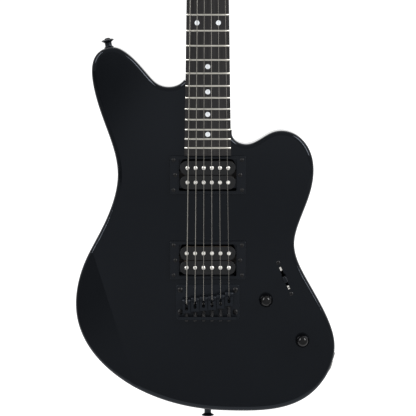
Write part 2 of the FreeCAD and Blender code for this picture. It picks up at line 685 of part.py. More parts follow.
nut_block = box("nut_block", "nut_width", "board_thick + nut_rise", "nut_thick", "0",
                f"{BOARD_TOP_Y} - nut_rise", NUT_Z)
nut_crown = rod("nut_crown", "board_radius + nut_rise", "nut_thick", "0",
                f"{BOARD_TOP_Y} + board_radius", NUT_Z)
nut_slots = []
for string, radius in enumerate(STRING_RADII):
    height = f"(nut_action - {crown_drop(nut_x(string))})"
    nut_slots.append(rod(f"nut_slot_{string + 1}", f"{radius} + 0.02", "nut_thick + 2",
                         nut_x(string), f"{FACE_Y} - {height}", f"{NUT_Z} - 1"))
    nut_slots.append(box(f"nut_slot_mouth_{string + 1}", f"{radius} * 2 + 0.04", "6",
                         "nut_thick + 2", nut_x(string), f"{FACE_Y} - {height} - 6", f"{NUT_Z} - 1"))
node("nut", cut("nut_cut", common("nut_shape", nut_block, nut_crown), *nut_slots))

rod_y = f"({BOARD_BACK_Y} + rod_size / 2 + 1.6)"
truss_rod = rod("truss_bar", "rod_size / 2", f"{BOARD_LENGTH} - 24", "0", rod_y, f"{HEEL_Z} + 16")
truss_nut = rod("truss_nut", "2.6", "20", "0", rod_y, f"{NUT_Z} - 9")
node("truss_rod", fuse("truss_rod_solid", truss_rod, truss_nut))


def cover_outline(sketch):
    rounded_rectangle(sketch, "19", "34", "4", "0", "24")


rod_cover = prism("rod_cover", cover_outline, "0", "2", round_front="0.6")
ROD_COVER_SCREWS = [(-6.8, 11), (6.8, 11), (0, 37)]
cover_holes = [rod(f"rod_cover_hole_{index}", "1.1", "4", str(x), "1", str(z), FORWARD)
               for index, (x, z) in enumerate(ROD_COVER_SCREWS, start=1)]
node("truss_rod_cover", tilt(group("rod_cover_group", cut("rod_cover_cut", rod_cover, *cover_holes))))


# ----------------------------------------------------------------------- strap hardware
def make_strap_button():
    """A mushroom-headed button whose seat is at the origin and that stands up along Z."""
    body = doc.addObject("PartDesign::Body", "strap_button")
    sketch = sketch_in(body, "strap_profile")
    bore, waist, head_r = 2.2, value("strap_neck") / 2, value("strap_head") / 2
    height = value("strap_height")
    foot = waist + 1.6
    points = [(bore, 0), (foot, 0), (foot, 1.2), (waist, 2.4), (waist, height * 0.62),
              (head_r - 1.2, height * 0.76), (head_r, height * 0.84), (head_r - 0.8, height * 0.93),
              (bore + 2.4, height), (bore, height - 2)]
    corners = [Vector(x, z, 0) for x, z in points]
    lines = [Part.LineSegment(corner, corners[(index + 1) % len(corners)])
             for index, corner in enumerate(corners)]
    sketch.addGeometry(lines, False)
    turned = body.newObject("PartDesign::Revolution", "strap_turning")
    turned.Profile = sketch
    turned.ReferenceAxis = (sketch, ["V_Axis"])
    turned.Angle = 360
    return body


strap_button = make_strap_button()
HORN = ("(-0.379 * body_width)", "(0.9975 * body_length)")
HORN_LEAN = 11
horn_turn = Rotation(Vector(0, -1, 0), HORN_LEAN)
strap_spots = [("0", "0", "0", DOWNWARD), (HORN[0], "0", HORN[1], horn_turn)]
node("strap_buttons", group("strap_button_pair", *copies("strap_link", strap_button, strap_spots)))
strap_seats = [rod("tail_seat", "strap_neck / 2 + 2", "6", "0", "0", "0", DOWNWARD),
               rod("horn_seat", "strap_neck / 2 + 2", "6", HORN[0], "0", HORN[1], horn_turn)]

# Cup washers let the four neck screws into the back of the body.
ferrule_cups = []
ferrule_seats = []
for number, (across, along) in enumerate(NECK_SCREWS, start=1):
    z = f"{HEEL_Z} + {along}"
    flange = rod(f"cup_flange_{number}", "7", "1.6", str(across), f"{BACK_Y} - 1.2", z, BACKWARD)
    sleeve = rod(f"cup_sleeve_{number}", "5", "5", str(across), f"{BACK_Y} - 6", z, BACKWARD)
    recess = rod(f"cup_recess_{number}", "4.4", "4", str(across), f"{BACK_Y} - 3.2", z, BACKWARD)
    bore = rod(f"cup_bore_{number}", "2.3", "9", str(across), f"{BACK_Y} - 7", z, BACKWARD)
    ferrule_cups.append(cut(f"cup_{number}", fuse(f"cup_solid_{number}", flange, sleeve), recess, bore))
    ferrule_seats.append(rod(f"cup_seat_{number}", "7.1", "4", str(across), f"{BACK_Y} - 1.2", z,
                             BACKWARD))
    ferrule_seats.append(rod(f"cup_hole_{number}", "5.05", "8", str(across), f"{BACK_Y} - 6", z,
                             BACKWARD))
    ferrule_seats.append(rod(f"neck_screw_hole_{number}", "2.5", "body_thick", str(across),
                             f"{FACE_Y} + 2", z, BACKWARD))
node("neck_screw_cups", group("cup_set", *ferrule_cups))

AROUND = Rotation(Vector(0, 0, 1), 180)       # a screw's head to the back
neck_screw = screw("neck_screw", "4.2", "2", "2", "body_thick - 3.2 - 6")
neck_screw_spots = [(str(across), f"{BACK_Y} - 3.2", f"{HEEL_Z} + {along}", AROUND)
                    for across, along in NECK_SCREWS]
strap_screw = screw("strap_screw", "3.6", "1.6", "2.1", "36")
HEAD_DOWN = Rotation(Vector(1, 0, 0), 90)     # a screw's head to the tail
HEAD_UP = Rotation(Vector(1, 0, 0), -90)
bridge_screw = screw("bridge_screw", "3.3", "1.8", "1.9", "24")
strap_screw_spots = [("0", "0", "-strap_height", HEAD_DOWN),
                     (f"{HORN[0]} - sin({HORN_LEAN}) * strap_height", "0",
                      f"{HORN[1]} + cos({HORN_LEAN}) * strap_height", horn_turn * HEAD_UP)]
BRIDGE_SCREWS = [(f"({side} * bridge_hole_x / 2)", row) for side in (-1, 1)
                 for row in ("bridge_hole_front", "(-bridge_hole_rear)")]
bridge_screw_spots = [(across, f"{FACE_Y} - bridge_thick", f"{BRIDGE_Z} + {row}", UPRIGHT)
                      for across, row in BRIDGE_SCREWS]
wood_screws = copies("neck_screw_link", neck_screw, neck_screw_spots)
wood_screws += copies("strap_screw_link", strap_screw, strap_screw_spots)
wood_screws += copies("bridge_screw_link", bridge_screw, bridge_screw_spots)
node("wood_screws", group("wood_screw_set", *wood_screws))
bridge_pilots = [rod(f"bridge_pilot_{number}", "2", "24", across, f"{FACE_Y} - 1",
                     f"{BRIDGE_Z} + {row}", BACKWARD)
                 for number, (across, row) in enumerate(BRIDGE_SCREWS, start=1)]
strap_pilots = [rod("tail_pilot", "2.2", "30", "0", "0", "-2"),
                rod("horn_pilot", "2.2", "34", HORN[0], "0", HORN[1], horn_turn * DOWNWARD)]


# ------------------------------------------------------------------------------ pickups
PICKUPS = [("neck", NECK_PICKUP_Z, "neck_pole_pitch", 1),
           ("bridge", BRIDGE_PICKUP_Z, "bridge_pole_pitch", -1)]
BOBBIN_TOP = f"({FACE_Y} - pickup_rise)"
BOBBIN_BACK = f"({BOBBIN_TOP} + bobbin_height)"
MAGNET_THICK = "3.2"
BASE_BACK = f"({BOBBIN_BACK} + {MAGNET_THICK} + 1.2)"

ring_parts, bobbin_parts, coil_parts, pole_parts, magnet_parts, base_parts = [], [], [], [], [], []
pickup_screw_spots, height_screw_spots, spring_parts, pickup_routes = [], [], [], []


def bobbin_ends(z, shrink):
    """Start and end of a bobbin's middle line."""
    half = f"(bobbin_length - bobbin_width) / 2 - {shrink}"
    return (f"-({half})", z), (half, z)


for label, centre, pitch, screw_side in PICKUPS:

    def ring_outline(sketch):
        rounded_rectangle(sketch, "ring_width", "ring_height", "2", "0", centre)

    def opening_outline(sketch):
        rounded_rectangle(sketch, "ring_open_width", "ring_open_height", "1.5", "0", centre)

    ring_body = prism(f"{label}_ring", ring_outline, FACE_Y, "ring_rise", round_front="0.8")
    opening = prism(f"{label}_ring_opening", opening_outline, f"{FACE_Y} + 1", "ring_rise + 2")
    ring_tools = [opening]
    for side in (-1, 1):
        across = f"({side} * height_screw_x / 2)"
        ring_tools.append(rod(f"{label}_height_hole_{side}", "1.6", "ring_rise + 2", across,
                              f"{FACE_Y} + 1", centre, FORWARD))
        height_screw_spots.append((across, f"{FACE_Y} - ring_rise", centre, UPRIGHT))
        spring = rod(f"{label}_spring_{side}", "2.9", f"{BASE_BACK} - 1.2 - {FACE_Y} - 0.6", across,
                     f"{FACE_Y} + 0.3", centre, BACKWARD)
        spring_bore = rod(f"{label}_spring_bore_{side}", "1.9", "40", across, f"{FACE_Y} - 1", centre,
                          BACKWARD)
        spring_parts.append(cut(f"{label}_spring_tube_{side}", spring, spring_bore))
        for end in (-1, 1):
            corner = (f"({side} * ring_screw_x / 2)", f"{centre} + {end} * ring_screw_z / 2")
            ring_tools.append(rod(f"{label}_ring_hole_{side}_{end}", "1.15", "ring_rise + 2",
                                  corner[0], f"{FACE_Y} + 1", corner[1], FORWARD))
            pickup_screw_spots.append((corner[0], f"{FACE_Y} - ring_rise", corner[1], UPRIGHT))
    ring_parts.append(cut(f"{label}_ring_cut", ring_body, *ring_tools))

    pole_tools = []
    for row in (-1, 1):
        z = f"({centre} + {row} * pole_row_gap / 2)"

        def flange_outline(sketch):
            capsule(sketch, *bobbin_ends(z, "0"), "bobbin_width / 2")

        def coil_outline(sketch):
            capsule(sketch, *bobbin_ends(z, "0"), "bobbin_width / 2 - 0.6")

        def core_outline(sketch):
            reach = f"(2.5 * {pitch})"
            capsule(sketch, (f"-{reach}", z), (reach, z), "pole_size / 2 + 0.9")

        is_screw = row == screw_side
        end_holes = [rod(f"{label}_end_hole_{row}_{end}", "bobbin_screw_size / 2", "bobbin_flange + 1.5",
                         f"({end} * 2 * {pitch})", f"{BOBBIN_TOP} - 1", z, BACKWARD)
                     for end in (-1, 1)]
        top_flange = prism(f"{label}_top_flange_{row}", flange_outline,
                           f"{BOBBIN_TOP} + bobbin_flange", "bobbin_flange", round_front="0.4")
        low_flange = prism(f"{label}_low_flange_{row}", flange_outline, BOBBIN_BACK, "bobbin_flange")
        core = prism(f"{label}_core_{row}", core_outline, f"{BOBBIN_BACK} - bobbin_flange / 2",
                     "bobbin_height - bobbin_flange")
        winding = prism(f"{label}_winding_{row}", coil_outline, f"{BOBBIN_BACK} - bobbin_flange",
                        "bobbin_height - 2 * bobbin_flange")
        hollow = prism(f"{label}_winding_hollow_{row}", core_outline, BOBBIN_BACK, "bobbin_height")
        coil_parts.append(cut(f"{label}_coil_{row}", winding, hollow))
        radius = "1.6" if is_screw else "(pole_size / 2)"
        holes = []
        for string in range(6):
            across = f"({string_share(string) * 5} * {pitch})"
            holes.append(rod(f"{label}_pole_hole_{row}_{string}", f"{radius} + run_gap", "40", across,
                             f"{BOBBIN_TOP} - 1", z, BACKWARD))
            if is_screw:
                stem = rod(f"{label}_pole_stem_{row}_{string}", radius, "18", across, BOBBIN_TOP, z,
                           BACKWARD)
                cap = rod(f"{label}_pole_cap_{row}_{string}", "pole_size / 2", "0.9", across,
                          BOBBIN_TOP, z, FORWARD)
                slot = box(f"{label}_pole_slot_{row}_{string}", "pole_size * 1.2", "0.6", "0.8", across,
                           f"{BOBBIN_TOP} - 1", f"{z} - 0.4")
                pole_parts.append(cut(f"{label}_pole_{row}_{string}",
                                      fuse(f"{label}_pole_solid_{row}_{string}", stem, cap), slot))
            else:
                pole_parts.append(rod(f"{label}_slug_{row}_{string}", radius, "bobbin_height + 0.3",
                                      across, f"{BOBBIN_TOP} - 0.3", z, BACKWARD))
        bobbin = fuse(f"{label}_bobbin_solid_{row}", top_flange, core, low_flange)
        bobbin_parts.append(cut(f"{label}_bobbin_{row}", bobbin, *holes, *end_holes))
        if is_screw:
            pole_tools = [rod(f"{label}_base_hole_{string}", "1.8", "10",
                              f"({string_share(string) * 5} * {pitch})", f"{BASE_BACK} - 4", z,
                              BACKWARD) for string in range(6)]
    magnet_parts.append(box(f"{label}_magnet", "bobbin_length - 10", MAGNET_THICK, "12", "0",
                            BOBBIN_BACK, f"{centre} - 6"))
    tray = box(f"{label}_tray", "bobbin_length - 8", "1.2", "tray_height", "0",
               f"{BASE_BACK} - 1.2", f"{centre} - tray_height / 2")
    ears = box(f"{label}_ears", "height_screw_x + 9", "1.2", "9", "0", f"{BASE_BACK} - 1.2",
               f"{centre} - 4.5")
    ear_holes = [rod(f"{label}_ear_hole_{side}", "1.45", "6", f"({side} * height_screw_x / 2)",
                     f"{BASE_BACK} - 4", centre, BACKWARD) for side in (-1, 1)]
    base_parts.append(cut(f"{label}_base", fuse(f"{label}_base_solid", tray, ears), *pole_tools,
                          *ear_holes))
    route = box(f"{label}_route", "ring_open_width + 3", "route_depth + 1", "ring_open_height + 3",
                "0", f"{FACE_Y} - 1", f"{centre} - (ring_open_height + 3) / 2")
    ear_route = box(f"{label}_ear_route", "ring_width - 1.5", "route_depth + 1", "12", "0",
                    f"{FACE_Y} - 1", f"{centre} - 6")
    pickup_routes += [route, ear_route]

node("pickup_rings", group("ring_pair", *ring_parts))
node("pickup_bobbins", group("bobbin_set", *bobbin_parts))
node("pickup_coils", group("coil_set", *coil_parts))
node("pickup_poles", group("pole_set", *pole_parts))
node("pickup_magnets", group("magnet_pair", *magnet_parts))
node("pickup_baseplates", group("base_pair", *base_parts))
node("pickup_springs", group("pickup_spring_set", *spring_parts))
ring_screw = screw("ring_screw", "2.4", "1.2", "1.1", "14")
height_screw = screw("height_screw", "2.5", "1.3", "1.4", "22")
node("pickup_screws", group("pickup_screw_set",
                            *copies("ring_screw_link", ring_screw, pickup_screw_spots),
                            *copies("height_screw_link", height_screw, height_screw_spots)))
ring_pilots = [rod(f"ring_pilot_{number}", "1.15", "12", across, f"{FACE_Y} - 1", along, BACKWARD)
               for number, (across, y, along, turn) in enumerate(pickup_screw_spots, start=1)]


# ------------------------------------------------------------------------------- bridge
BRIDGE_MIDDLE_Z = f"({BRIDGE_Z} + (bridge_front - bridge_rear) / 2)"
BRIDGE_HEIGHT = "(bridge_front + bridge_rear)"
REAR_Z = f"({BRIDGE_Z} - bridge_rear)"
SCREW_Y = f"({FACE_Y} - intonation_rise)"


def bridge_outline(sketch):
    rounded_rectangle(sketch, "bridge_width", BRIDGE_HEIGHT, "bridge_corner", "0", BRIDGE_MIDDLE_Z)


plate = prism("bridge_floor", bridge_outline, FACE_Y, "bridge_thick", round_front="0.5")
wall = box("bridge_wall", "bridge_width - bridge_corner * 2", "bridge_wall_rise", "bridge_wall",
           "0", f"{FACE_Y} - bridge_wall_rise", f"{REAR_Z} + 0.4")
plate_tools = [rod(f"bridge_hole_{number}", "2", "6", across, f"{FACE_Y} + 1",
                   f"{BRIDGE_Z} + {row}", FORWARD)
               for number, (across, row) in enumerate(BRIDGE_SCREWS, start=1)]
string_holes, ferrules, ferrule_seats_back = [], [], []
saddle_parts, intonation_parts, intonation_springs = [], [], []


def string_height(string):
    """Height of a string's middle above the body's face at the saddle."""
    return f"(action_height - {crown_drop(saddle_x(string))})"


def make_saddle(string):
    """A block with a string slot, a rounded crest and two height screws."""
    x = saddle_x(string)
    label = f"saddle_{string + 1}"
    rest = f"({BRIDGE_Z} + {INTONATION[string]})"
    front, rear = f"({rest} + saddle_lead)", f"({rest} + saddle_lead - saddle_length)"
    top = f"({string_height(string)} - {STRING_RADII[string]})"
    slot_rear = f"({rest} - slot_length - 2)"

    body = doc.addObject("PartDesign::Body", f"{label}_block")
    block = body.newObject("PartDesign::AdditiveBox", f"{label}_box")
    bind(block, Length="saddle_width", Width=f"{top} - saddle_foot", Height="saddle_length")
    place(block, f"{x} - saddle_width / 2", f"{FACE_Y} - {top}", rear)
    doc.recompute()
    front_z, top_y = value(front), value(f"{FACE_Y} - {top}")
    crest = [index for index, edge in enumerate(block.Shape.Edges, start=1)
             if edge.BoundBox.ZMin > front_z - 0.01 and edge.BoundBox.YMax < top_y + 0.01]
    fillet = body.newObject("PartDesign::Fillet", f"{label}_crest")
    fillet.Base = (block, [f"Edge{crest[0]}"])
    bind(fillet, Radius="saddle_lead")

    slot_middle = f"({slot_rear} + slot_length / 2)"

    def slot_outline(sketch):
        run = "(slot_length - slot_width) / 2"
        capsule(sketch, (x, f"{slot_middle} - {run}"), (x, f"{slot_middle} + {run}"), "slot_width / 2")

    slot = prism(f"{label}_slot", slot_outline, FACE_Y, "action_height + 2")
    hollow = box(f"{label}_hollow", "slot_width + 1", "3.4", "slot_length + 5.5", x,
                 f"{FACE_Y} - saddle_foot - 2.2", f"{slot_rear} - 2")
    tools = [slot, hollow,
             box(f"{label}_notch", f"{STRING_RADII[string]} * 2 + notch_room", "3", f"{NOTCH_RUN} + 2", x,
                 f"{FACE_Y} - {top} - 3 + {NOTCH_DROP} + notch_room + {STRING_RADII[string]}",
                 f"{rest} - {NOTCH_RUN} - 2"),
             rod(f"{label}_thread", "intonation_size / 2 + run_gap", "6", x, SCREW_Y, f"{rear} - 1")]
    screws = []
    for side in (-1, 1):
        across = f"({x} + {side} * (saddle_width / 2 - 1.9))"
        along = f"({front} - 5.4)"
        tools.append(rod(f"{label}_height_bore_{side}", "1.3 + run_gap", "20", across, FACE_Y, along,
                         FORWARD))
        pin = rod(f"{label}_height_pin_{side}", "1.3", f"{top} - bridge_thick - 0.9", across,
                  f"{FACE_Y} - bridge_thick - 0.02", along, FORWARD)
        hex_hole = rod(f"{label}_height_hex_{side}", "0.7", "3", across, f"{FACE_Y} - {top} - 1",
                       along, BACKWARD)
        screws.append(cut(f"{label}_height_screw_{side}", pin, hex_hole))
    return group(f"{label}_group", cut(f"{label}_cut", body, *tools), *screws), rear


for string in range(6):
    x = saddle_x(string)
    label = f"intonation_{string + 1}"
    saddle, saddle_rear = make_saddle(string)
    saddle_parts.append(saddle)
    tip = f"({BRIDGE_Z} + {INTONATION[string]} - 9.2)"
    stem = rod(f"{label}_stem", "intonation_size / 2", f"{tip} - {REAR_Z}", x, SCREW_Y, REAR_Z)
    head_disc = rod(f"{label}_disc", "2.7", "2.2", x, SCREW_Y, f"{REAR_Z} + 0.02", DOWNWARD)
    cross = [box(f"{label}_cross_{wide}", wide, tall, "2", x, f"{SCREW_Y} - ({tall}) / 2",
                 f"{REAR_Z} - 3.4") for wide, tall in (("0.8", "3.6"), ("3.6", "0.8"))]
    intonation_parts.append(cut(f"{label}_cut", fuse(f"{label}_solid", stem, head_disc), *cross))
    wall_front = f"({REAR_Z} + 0.4 + bridge_wall)"
    tube = rod(f"{label}_tube", "2.3", f"{saddle_rear} - {wall_front} - 0.2", x, SCREW_Y,
               f"{wall_front} + 0.1")
    tube_bore = rod(f"{label}_tube_bore", "1.75", "40", x, SCREW_Y, f"{wall_front} - 1")
    intonation_springs.append(cut(f"{label}_spring", tube, tube_bore))
    plate_tools.append(rod(f"{label}_wall_hole", "intonation_size / 2 + run_gap", "bridge_wall * 4",
                           x, SCREW_Y, f"{REAR_Z} - bridge_wall"))
    plate_tools.append(rod(f"{label}_string_exit", "1.7", "6", x, f"{FACE_Y} + 1", STRING_HOLE_Z,
                           FORWARD))
    string_holes.append(rod(f"string_hole_{string + 1}", "1.5", "body_thick + 2", x,
                            f"{FACE_Y} - 1", STRING_HOLE_Z, BACKWARD))
    cup = rod(f"ferrule_cup_{string + 1}", "ferrule_size / 2 - 0.8", "8", x, f"{BACK_Y} - 8",
              STRING_HOLE_Z, BACKWARD)
    lip = rod(f"ferrule_lip_{string + 1}", "ferrule_size / 2", "1.2", x, f"{BACK_Y} - 1",
              STRING_HOLE_Z, BACKWARD)
    seat = rod(f"ferrule_seat_{string + 1}", "ferrule_size / 2 + run_gap", "3", x, f"{BACK_Y} - 1",
               STRING_HOLE_Z, BACKWARD)
    hole = rod(f"ferrule_hole_{string + 1}", "ferrule_size / 2 - 0.8 + run_gap", "9", x,
               f"{BACK_Y} - 8", STRING_HOLE_Z, BACKWARD)
    ball_room = rod(f"ferrule_room_{string + 1}", "2.4", "8", x, f"{BACK_Y} - 5.5", STRING_HOLE_Z,
                    BACKWARD)
    ferrule_bore = rod(f"ferrule_bore_{string + 1}", "1.5", "12", x, f"{BACK_Y} - 9", STRING_HOLE_Z,
                       BACKWARD)
    ferrules.append(cut(f"ferrule_{string + 1}", fuse(f"ferrule_solid_{string + 1}", cup, lip),
                        ball_room, ferrule_bore))
    ferrule_seats_back += [seat, hole]

node("bridge_plate", cut("bridge_cut", fuse("bridge_solid", plate, wall), *plate_tools))
for string in range(6):
    node(f"saddle_{string + 1}", saddle_parts[string])
for string in range(6):
    node(f"intonation_screw_{string + 1}", intonation_parts[string])
node("intonation_springs", group("intonation_spring_set", *intonation_springs))
node("string_ferrules", group("ferrule_set", *ferrules))


# ------------------------------------------------------------------------------- tuners
GEAR_Y = "(head_thick + housing_depth / 2)"
WORM_RISE = "(gear_size / 2 + worm_size / 2 + 0.1)"
GEAR_THICK = "4"


def make_gear():
    """A toothed wheel on the Y axis: a root disc with one tooth repeated round it."""
    body = doc.addObject("PartDesign::Body", "tuner_gear")
    disc = sketch_in(body, "gear_root", offset=f"-({GEAR_Y} + {GEAR_THICK} / 2)")
    circle(disc, "0", "0", "gear_size / 2 - 0.9")
    root = body.newObject("PartDesign::Pad", "gear_disc")
    root.Profile = disc
    bind(root, Length=GEAR_THICK)
    tooth = sketch_in(body, "gear_tooth", offset=f"-({GEAR_Y} + {GEAR_THICK} / 2)")
    rounded_rectangle(tooth, "0.8", "1.6", "0.2", "0", "gear_size / 2 - 0.8")
    pad = body.newObject("PartDesign::Pad", "gear_tooth_pad")
    pad.Profile = tooth
    bind(pad, Length=GEAR_THICK)
    teeth = body.newObject("PartDesign::PolarPattern", "gear_teeth_ring")
    teeth.Originals = [pad]
    teeth.Axis = (disc, ["N_Axis"])
    teeth.Angle = 360
    bind(teeth, Occurrences="gear_teeth")
    body.Tip = teeth
    return body


def make_post():
    """A string post with its gear; the post stands on the Y axis and faces the front."""
    stem = rod("post_stem", "post_size / 2", f"{GEAR_Y} + {GEAR_THICK} / 2 + 1.5 + 7", "0", "-7", "0",
               BACKWARD)
    waist = cone("post_waist", "post_size / 2", "post_size / 2 - 0.8", "3", "0", "-7", "0", FORWARD)
    top = rod("post_top", "post_size / 2 - 0.8", "post_rise - 11", "0", "-10", "0", FORWARD)
    cap = cone("post_cap", "post_size / 2 - 0.8", "post_size / 2", "1.5", "0", "-post_rise + 1.5",
               "0", FORWARD)
    eye = rod("post_eye", "0.9", "post_size * 2", "-post_size", "-9", "0", SIDEWAYS)
    return cut("post_template", fuse("post_solid", stem, waist, top, cap, make_gear()), eye)


def make_bushing():
    """A threaded collar in the headstock with its washer."""
    sleeve = rod("bushing_sleeve", "post_size / 2 + 1.6", "head_thick - 0.5", "0", "0", "0", BACKWARD)
    washer = rod("bushing_washer", "post_size / 2 + 3.8", "0.8", "0", "0", "0", FORWARD)
    collar = doc.addObject("Part::Prism", "bushing_collar")
    bind(collar, Circumradius="post_size / 2 + 2.9", Height="2.4")
    place(collar, "0", "0", "0", FORWARD)
    bore = rod("bushing_bore", "post_size / 2 + run_gap", "head_thick + 8", "0", "-4", "0", BACKWARD)
    return cut("bushing_template", fuse("bushing_solid", sleeve, washer, collar), bore)


def make_housing(side):
    """A closed die-cast housing behind the headstock, with room for worm and gear."""
    body = doc.addObject("PartDesign::Body", f"housing_block_{side}")
    block = body.newObject("PartDesign::AdditiveBox", f"housing_box_{side}")
    bind(block, Length="housing_width", Width="housing_depth", Height="housing_height")
    place(block, "-housing_width / 2", "head_thick + 0.02", "-housing_width / 2")
    doc.recompute()
    back = block.Shape.BoundBox.YMax
    rims = [f"Edge{index}" for index, edge in enumerate(block.Shape.Edges, start=1)
            if edge.BoundBox.YMin > back - 0.01 or edge.BoundBox.YLength > 5]
    fillet = body.newObject("PartDesign::Fillet", f"housing_round_{side}")
    fillet.Base = (block, rims)
    bind(fillet, Radius="2.5")
    gear_room = rod(f"gear_room_{side}", "gear_size / 2 + free_gap", f"{GEAR_THICK} + 1", "0",
                    f"{GEAR_Y} - ({GEAR_THICK} + 1) / 2", "0", BACKWARD)
    post_room = rod(f"post_room_{side}", "post_size / 2 + run_gap", "housing_depth / 2 + 4.2", "0",
                    "head_thick - 0.4", "0", BACKWARD)
    worm_room = rod(f"worm_room_{side}", "worm_size / 2 + 0.6", "housing_width - 4",
                    "-(housing_width - 4) / 2", GEAR_Y, WORM_RISE, SIDEWAYS)
    worm_bore = rod(f"worm_bore_{side}", "worm_size / 2 + run_gap", "housing_width",
                    f"{side} * housing_width / 2 - housing_width / 2", GEAR_Y, WORM_RISE, SIDEWAYS)
    nose = rod(f"worm_nose_{side}", "worm_size / 2 + 1.6", "4",
               f"{side} * (housing_width / 2 + 1.5) - 2", GEAR_Y, WORM_RISE, SIDEWAYS)
    nose_bore = rod(f"worm_nose_bore_{side}", "worm_size / 2 + run_gap", "8",
                    f"{side} * (housing_width / 2 + 2) - 4", GEAR_Y, WORM_RISE, SIDEWAYS)
    lug = rod(f"housing_lug_{side}", "3.4", "3", f"{side} * -4", "head_thick + 0.02",
              "-housing_width / 2 - 2.4", BACKWARD)
    lug_hole = rod(f"housing_lug_hole_{side}", "1.2", "5", f"{side} * -4", "head_thick - 1",
                   "-housing_width / 2 - 2.6", BACKWARD)
    return cut(f"housing_template_{side}", fuse(f"housing_solid_{side}", body, nose, lug),
               gear_room, post_room, worm_room, worm_bore, nose_bore, lug_hole)


def make_button(side):
    """A tuner button on its worm shaft, which lies along X."""
    reach = "(housing_width / 2 + 9.5)"
    stem_length = f"({reach} + housing_width / 2 - 3)"
    stem_start = "-(housing_width / 2 - 3)" if side > 0 else f"-{reach}"
    stem = rod(f"worm_stem_{side}", "worm_size / 2", stem_length, stem_start, GEAR_Y, WORM_RISE,
               SIDEWAYS)
    body = doc.addObject("PartDesign::Body", f"button_body_{side}")
    block = body.newObject("PartDesign::AdditiveBox", f"button_box_{side}")
    bind(block, Length="button_length", Width="button_thick", Height="button_width")
    place(block, reach if side > 0 else f"-{reach} - button_length", f"{GEAR_Y} - button_thick / 2",
          f"{WORM_RISE} - button_width / 2")
    doc.recompute()
    wide = [f"Edge{index}" for index, edge in enumerate(block.Shape.Edges, start=1)
            if edge.BoundBox.YLength > 5]
    corner = body.newObject("PartDesign::Fillet", f"button_corners_{side}")
    corner.Base = (block, wide)
    bind(corner, Radius="button_length * 0.36")
    doc.recompute()
    rims = [f"Edge{index}" for index, edge in enumerate(corner.Shape.Edges, start=1)
            if edge.BoundBox.YLength < 0.01]
    fillet = body.newObject("PartDesign::Fillet", f"button_round_{side}")
    fillet.Base = (corner, rims)
    bind(fillet, Radius="button_thick * 0.35")
    collar = rod(f"button_collar_{side}", "worm_size / 2 + 1.2", "4",
                 f"{side} * ({reach} - 1) - 2", GEAR_Y, WORM_RISE, SIDEWAYS)
    return fuse(f"button_template_{side}", stem, collar, body)


post = make_post()
bushing = make_bushing()
housings = {side: make_housing(side) for side in (-1, 1)}
buttons = {side: make_button(side) for side in (-1, 1)}
tuner_screw = screw("tuner_screw", "2.2", "1", "1", "8")
tuner_spots = [tuner_spot(side, number) for side, number in TUNERS]
housing_links, tuner_screw_spots, head_pilots = [], [], []
for index, (side, number) in enumerate(TUNERS, start=1):
    across, along = tuner_spots[index - 1]
    spot = [(across, "0", along, UPRIGHT)]
    housing_links += copies(f"housing_link_{index}", housings[side], spot)
    tuner_screw_spots.append((f"{across} + {side} * -4", "head_thick + 3.04",
                              f"{along} - housing_width / 2 - 2.6", AROUND))
    head_pilots.append(rod(f"head_pilot_{index}", "1.05", "8", f"{across} + {side} * -4",
                           "head_thick + 1", f"{along} - housing_width / 2 - 2.6", FORWARD))
    node(f"tuner_post_{index}", tilt(group(f"post_group_{index}",
                                           *copies(f"post_link_{index}", post, spot))))
    node(f"tuner_button_{index}", tilt(group(f"button_group_{index}",
                                             *copies(f"button_link_{index}", buttons[side], spot))))
node("tuner_housings", tilt(group("housing_group", *housing_links)))
node("tuner_bushings", tilt(group("bushing_group", *copies(
    "bushing_link", bushing, [(x, "0", z, UPRIGHT) for x, z in tuner_spots]))))
head_blank_cut = doc.getObject("head")
head_blank_cut.Tool.Shapes = head_blank_cut.Tool.Shapes + head_pilots


# ----------------------------------------------------------------------------- controls
def make_pot(label, x, z):
    """A potentiometer: a can under the cavity's roof and a bushing through the wood."""
    can = rod(f"{label}_can", "pot_size / 2", "pot_height", x, CAVITY_FLOOR_Y, z, BACKWARD)
    lug = box(f"{label}_lugs", "10", "1.6", "6", x, f"{CAVITY_FLOOR_Y} + 2",
              f"{z} - pot_size / 2 - 3.6")
    bushing = rod(f"{label}_bushing", "3.9", "cavity_roof + 2.6", x, CAVITY_FLOOR_Y, z, FORWARD)
    washer = rod(f"{label}_washer", "6.6", "0.6", x, FACE_Y, z, FORWARD)
    collar = doc.addObject("Part::Prism", f"{label}_collar")
    bind(collar, Circumradius="6", Height="1.6")
    place(collar, x, f"{FACE_Y} - 0.6", z, FORWARD)
    bore = rod(f"{label}_bore", "pot_shaft / 2 + run_gap", "cavity_roof + 12", x,
               f"{CAVITY_FLOOR_Y} + 5", z, FORWARD)
    return cut(f"{label}_pot", fuse(f"{label}_solid", can, lug, bushing, washer, collar), bore)


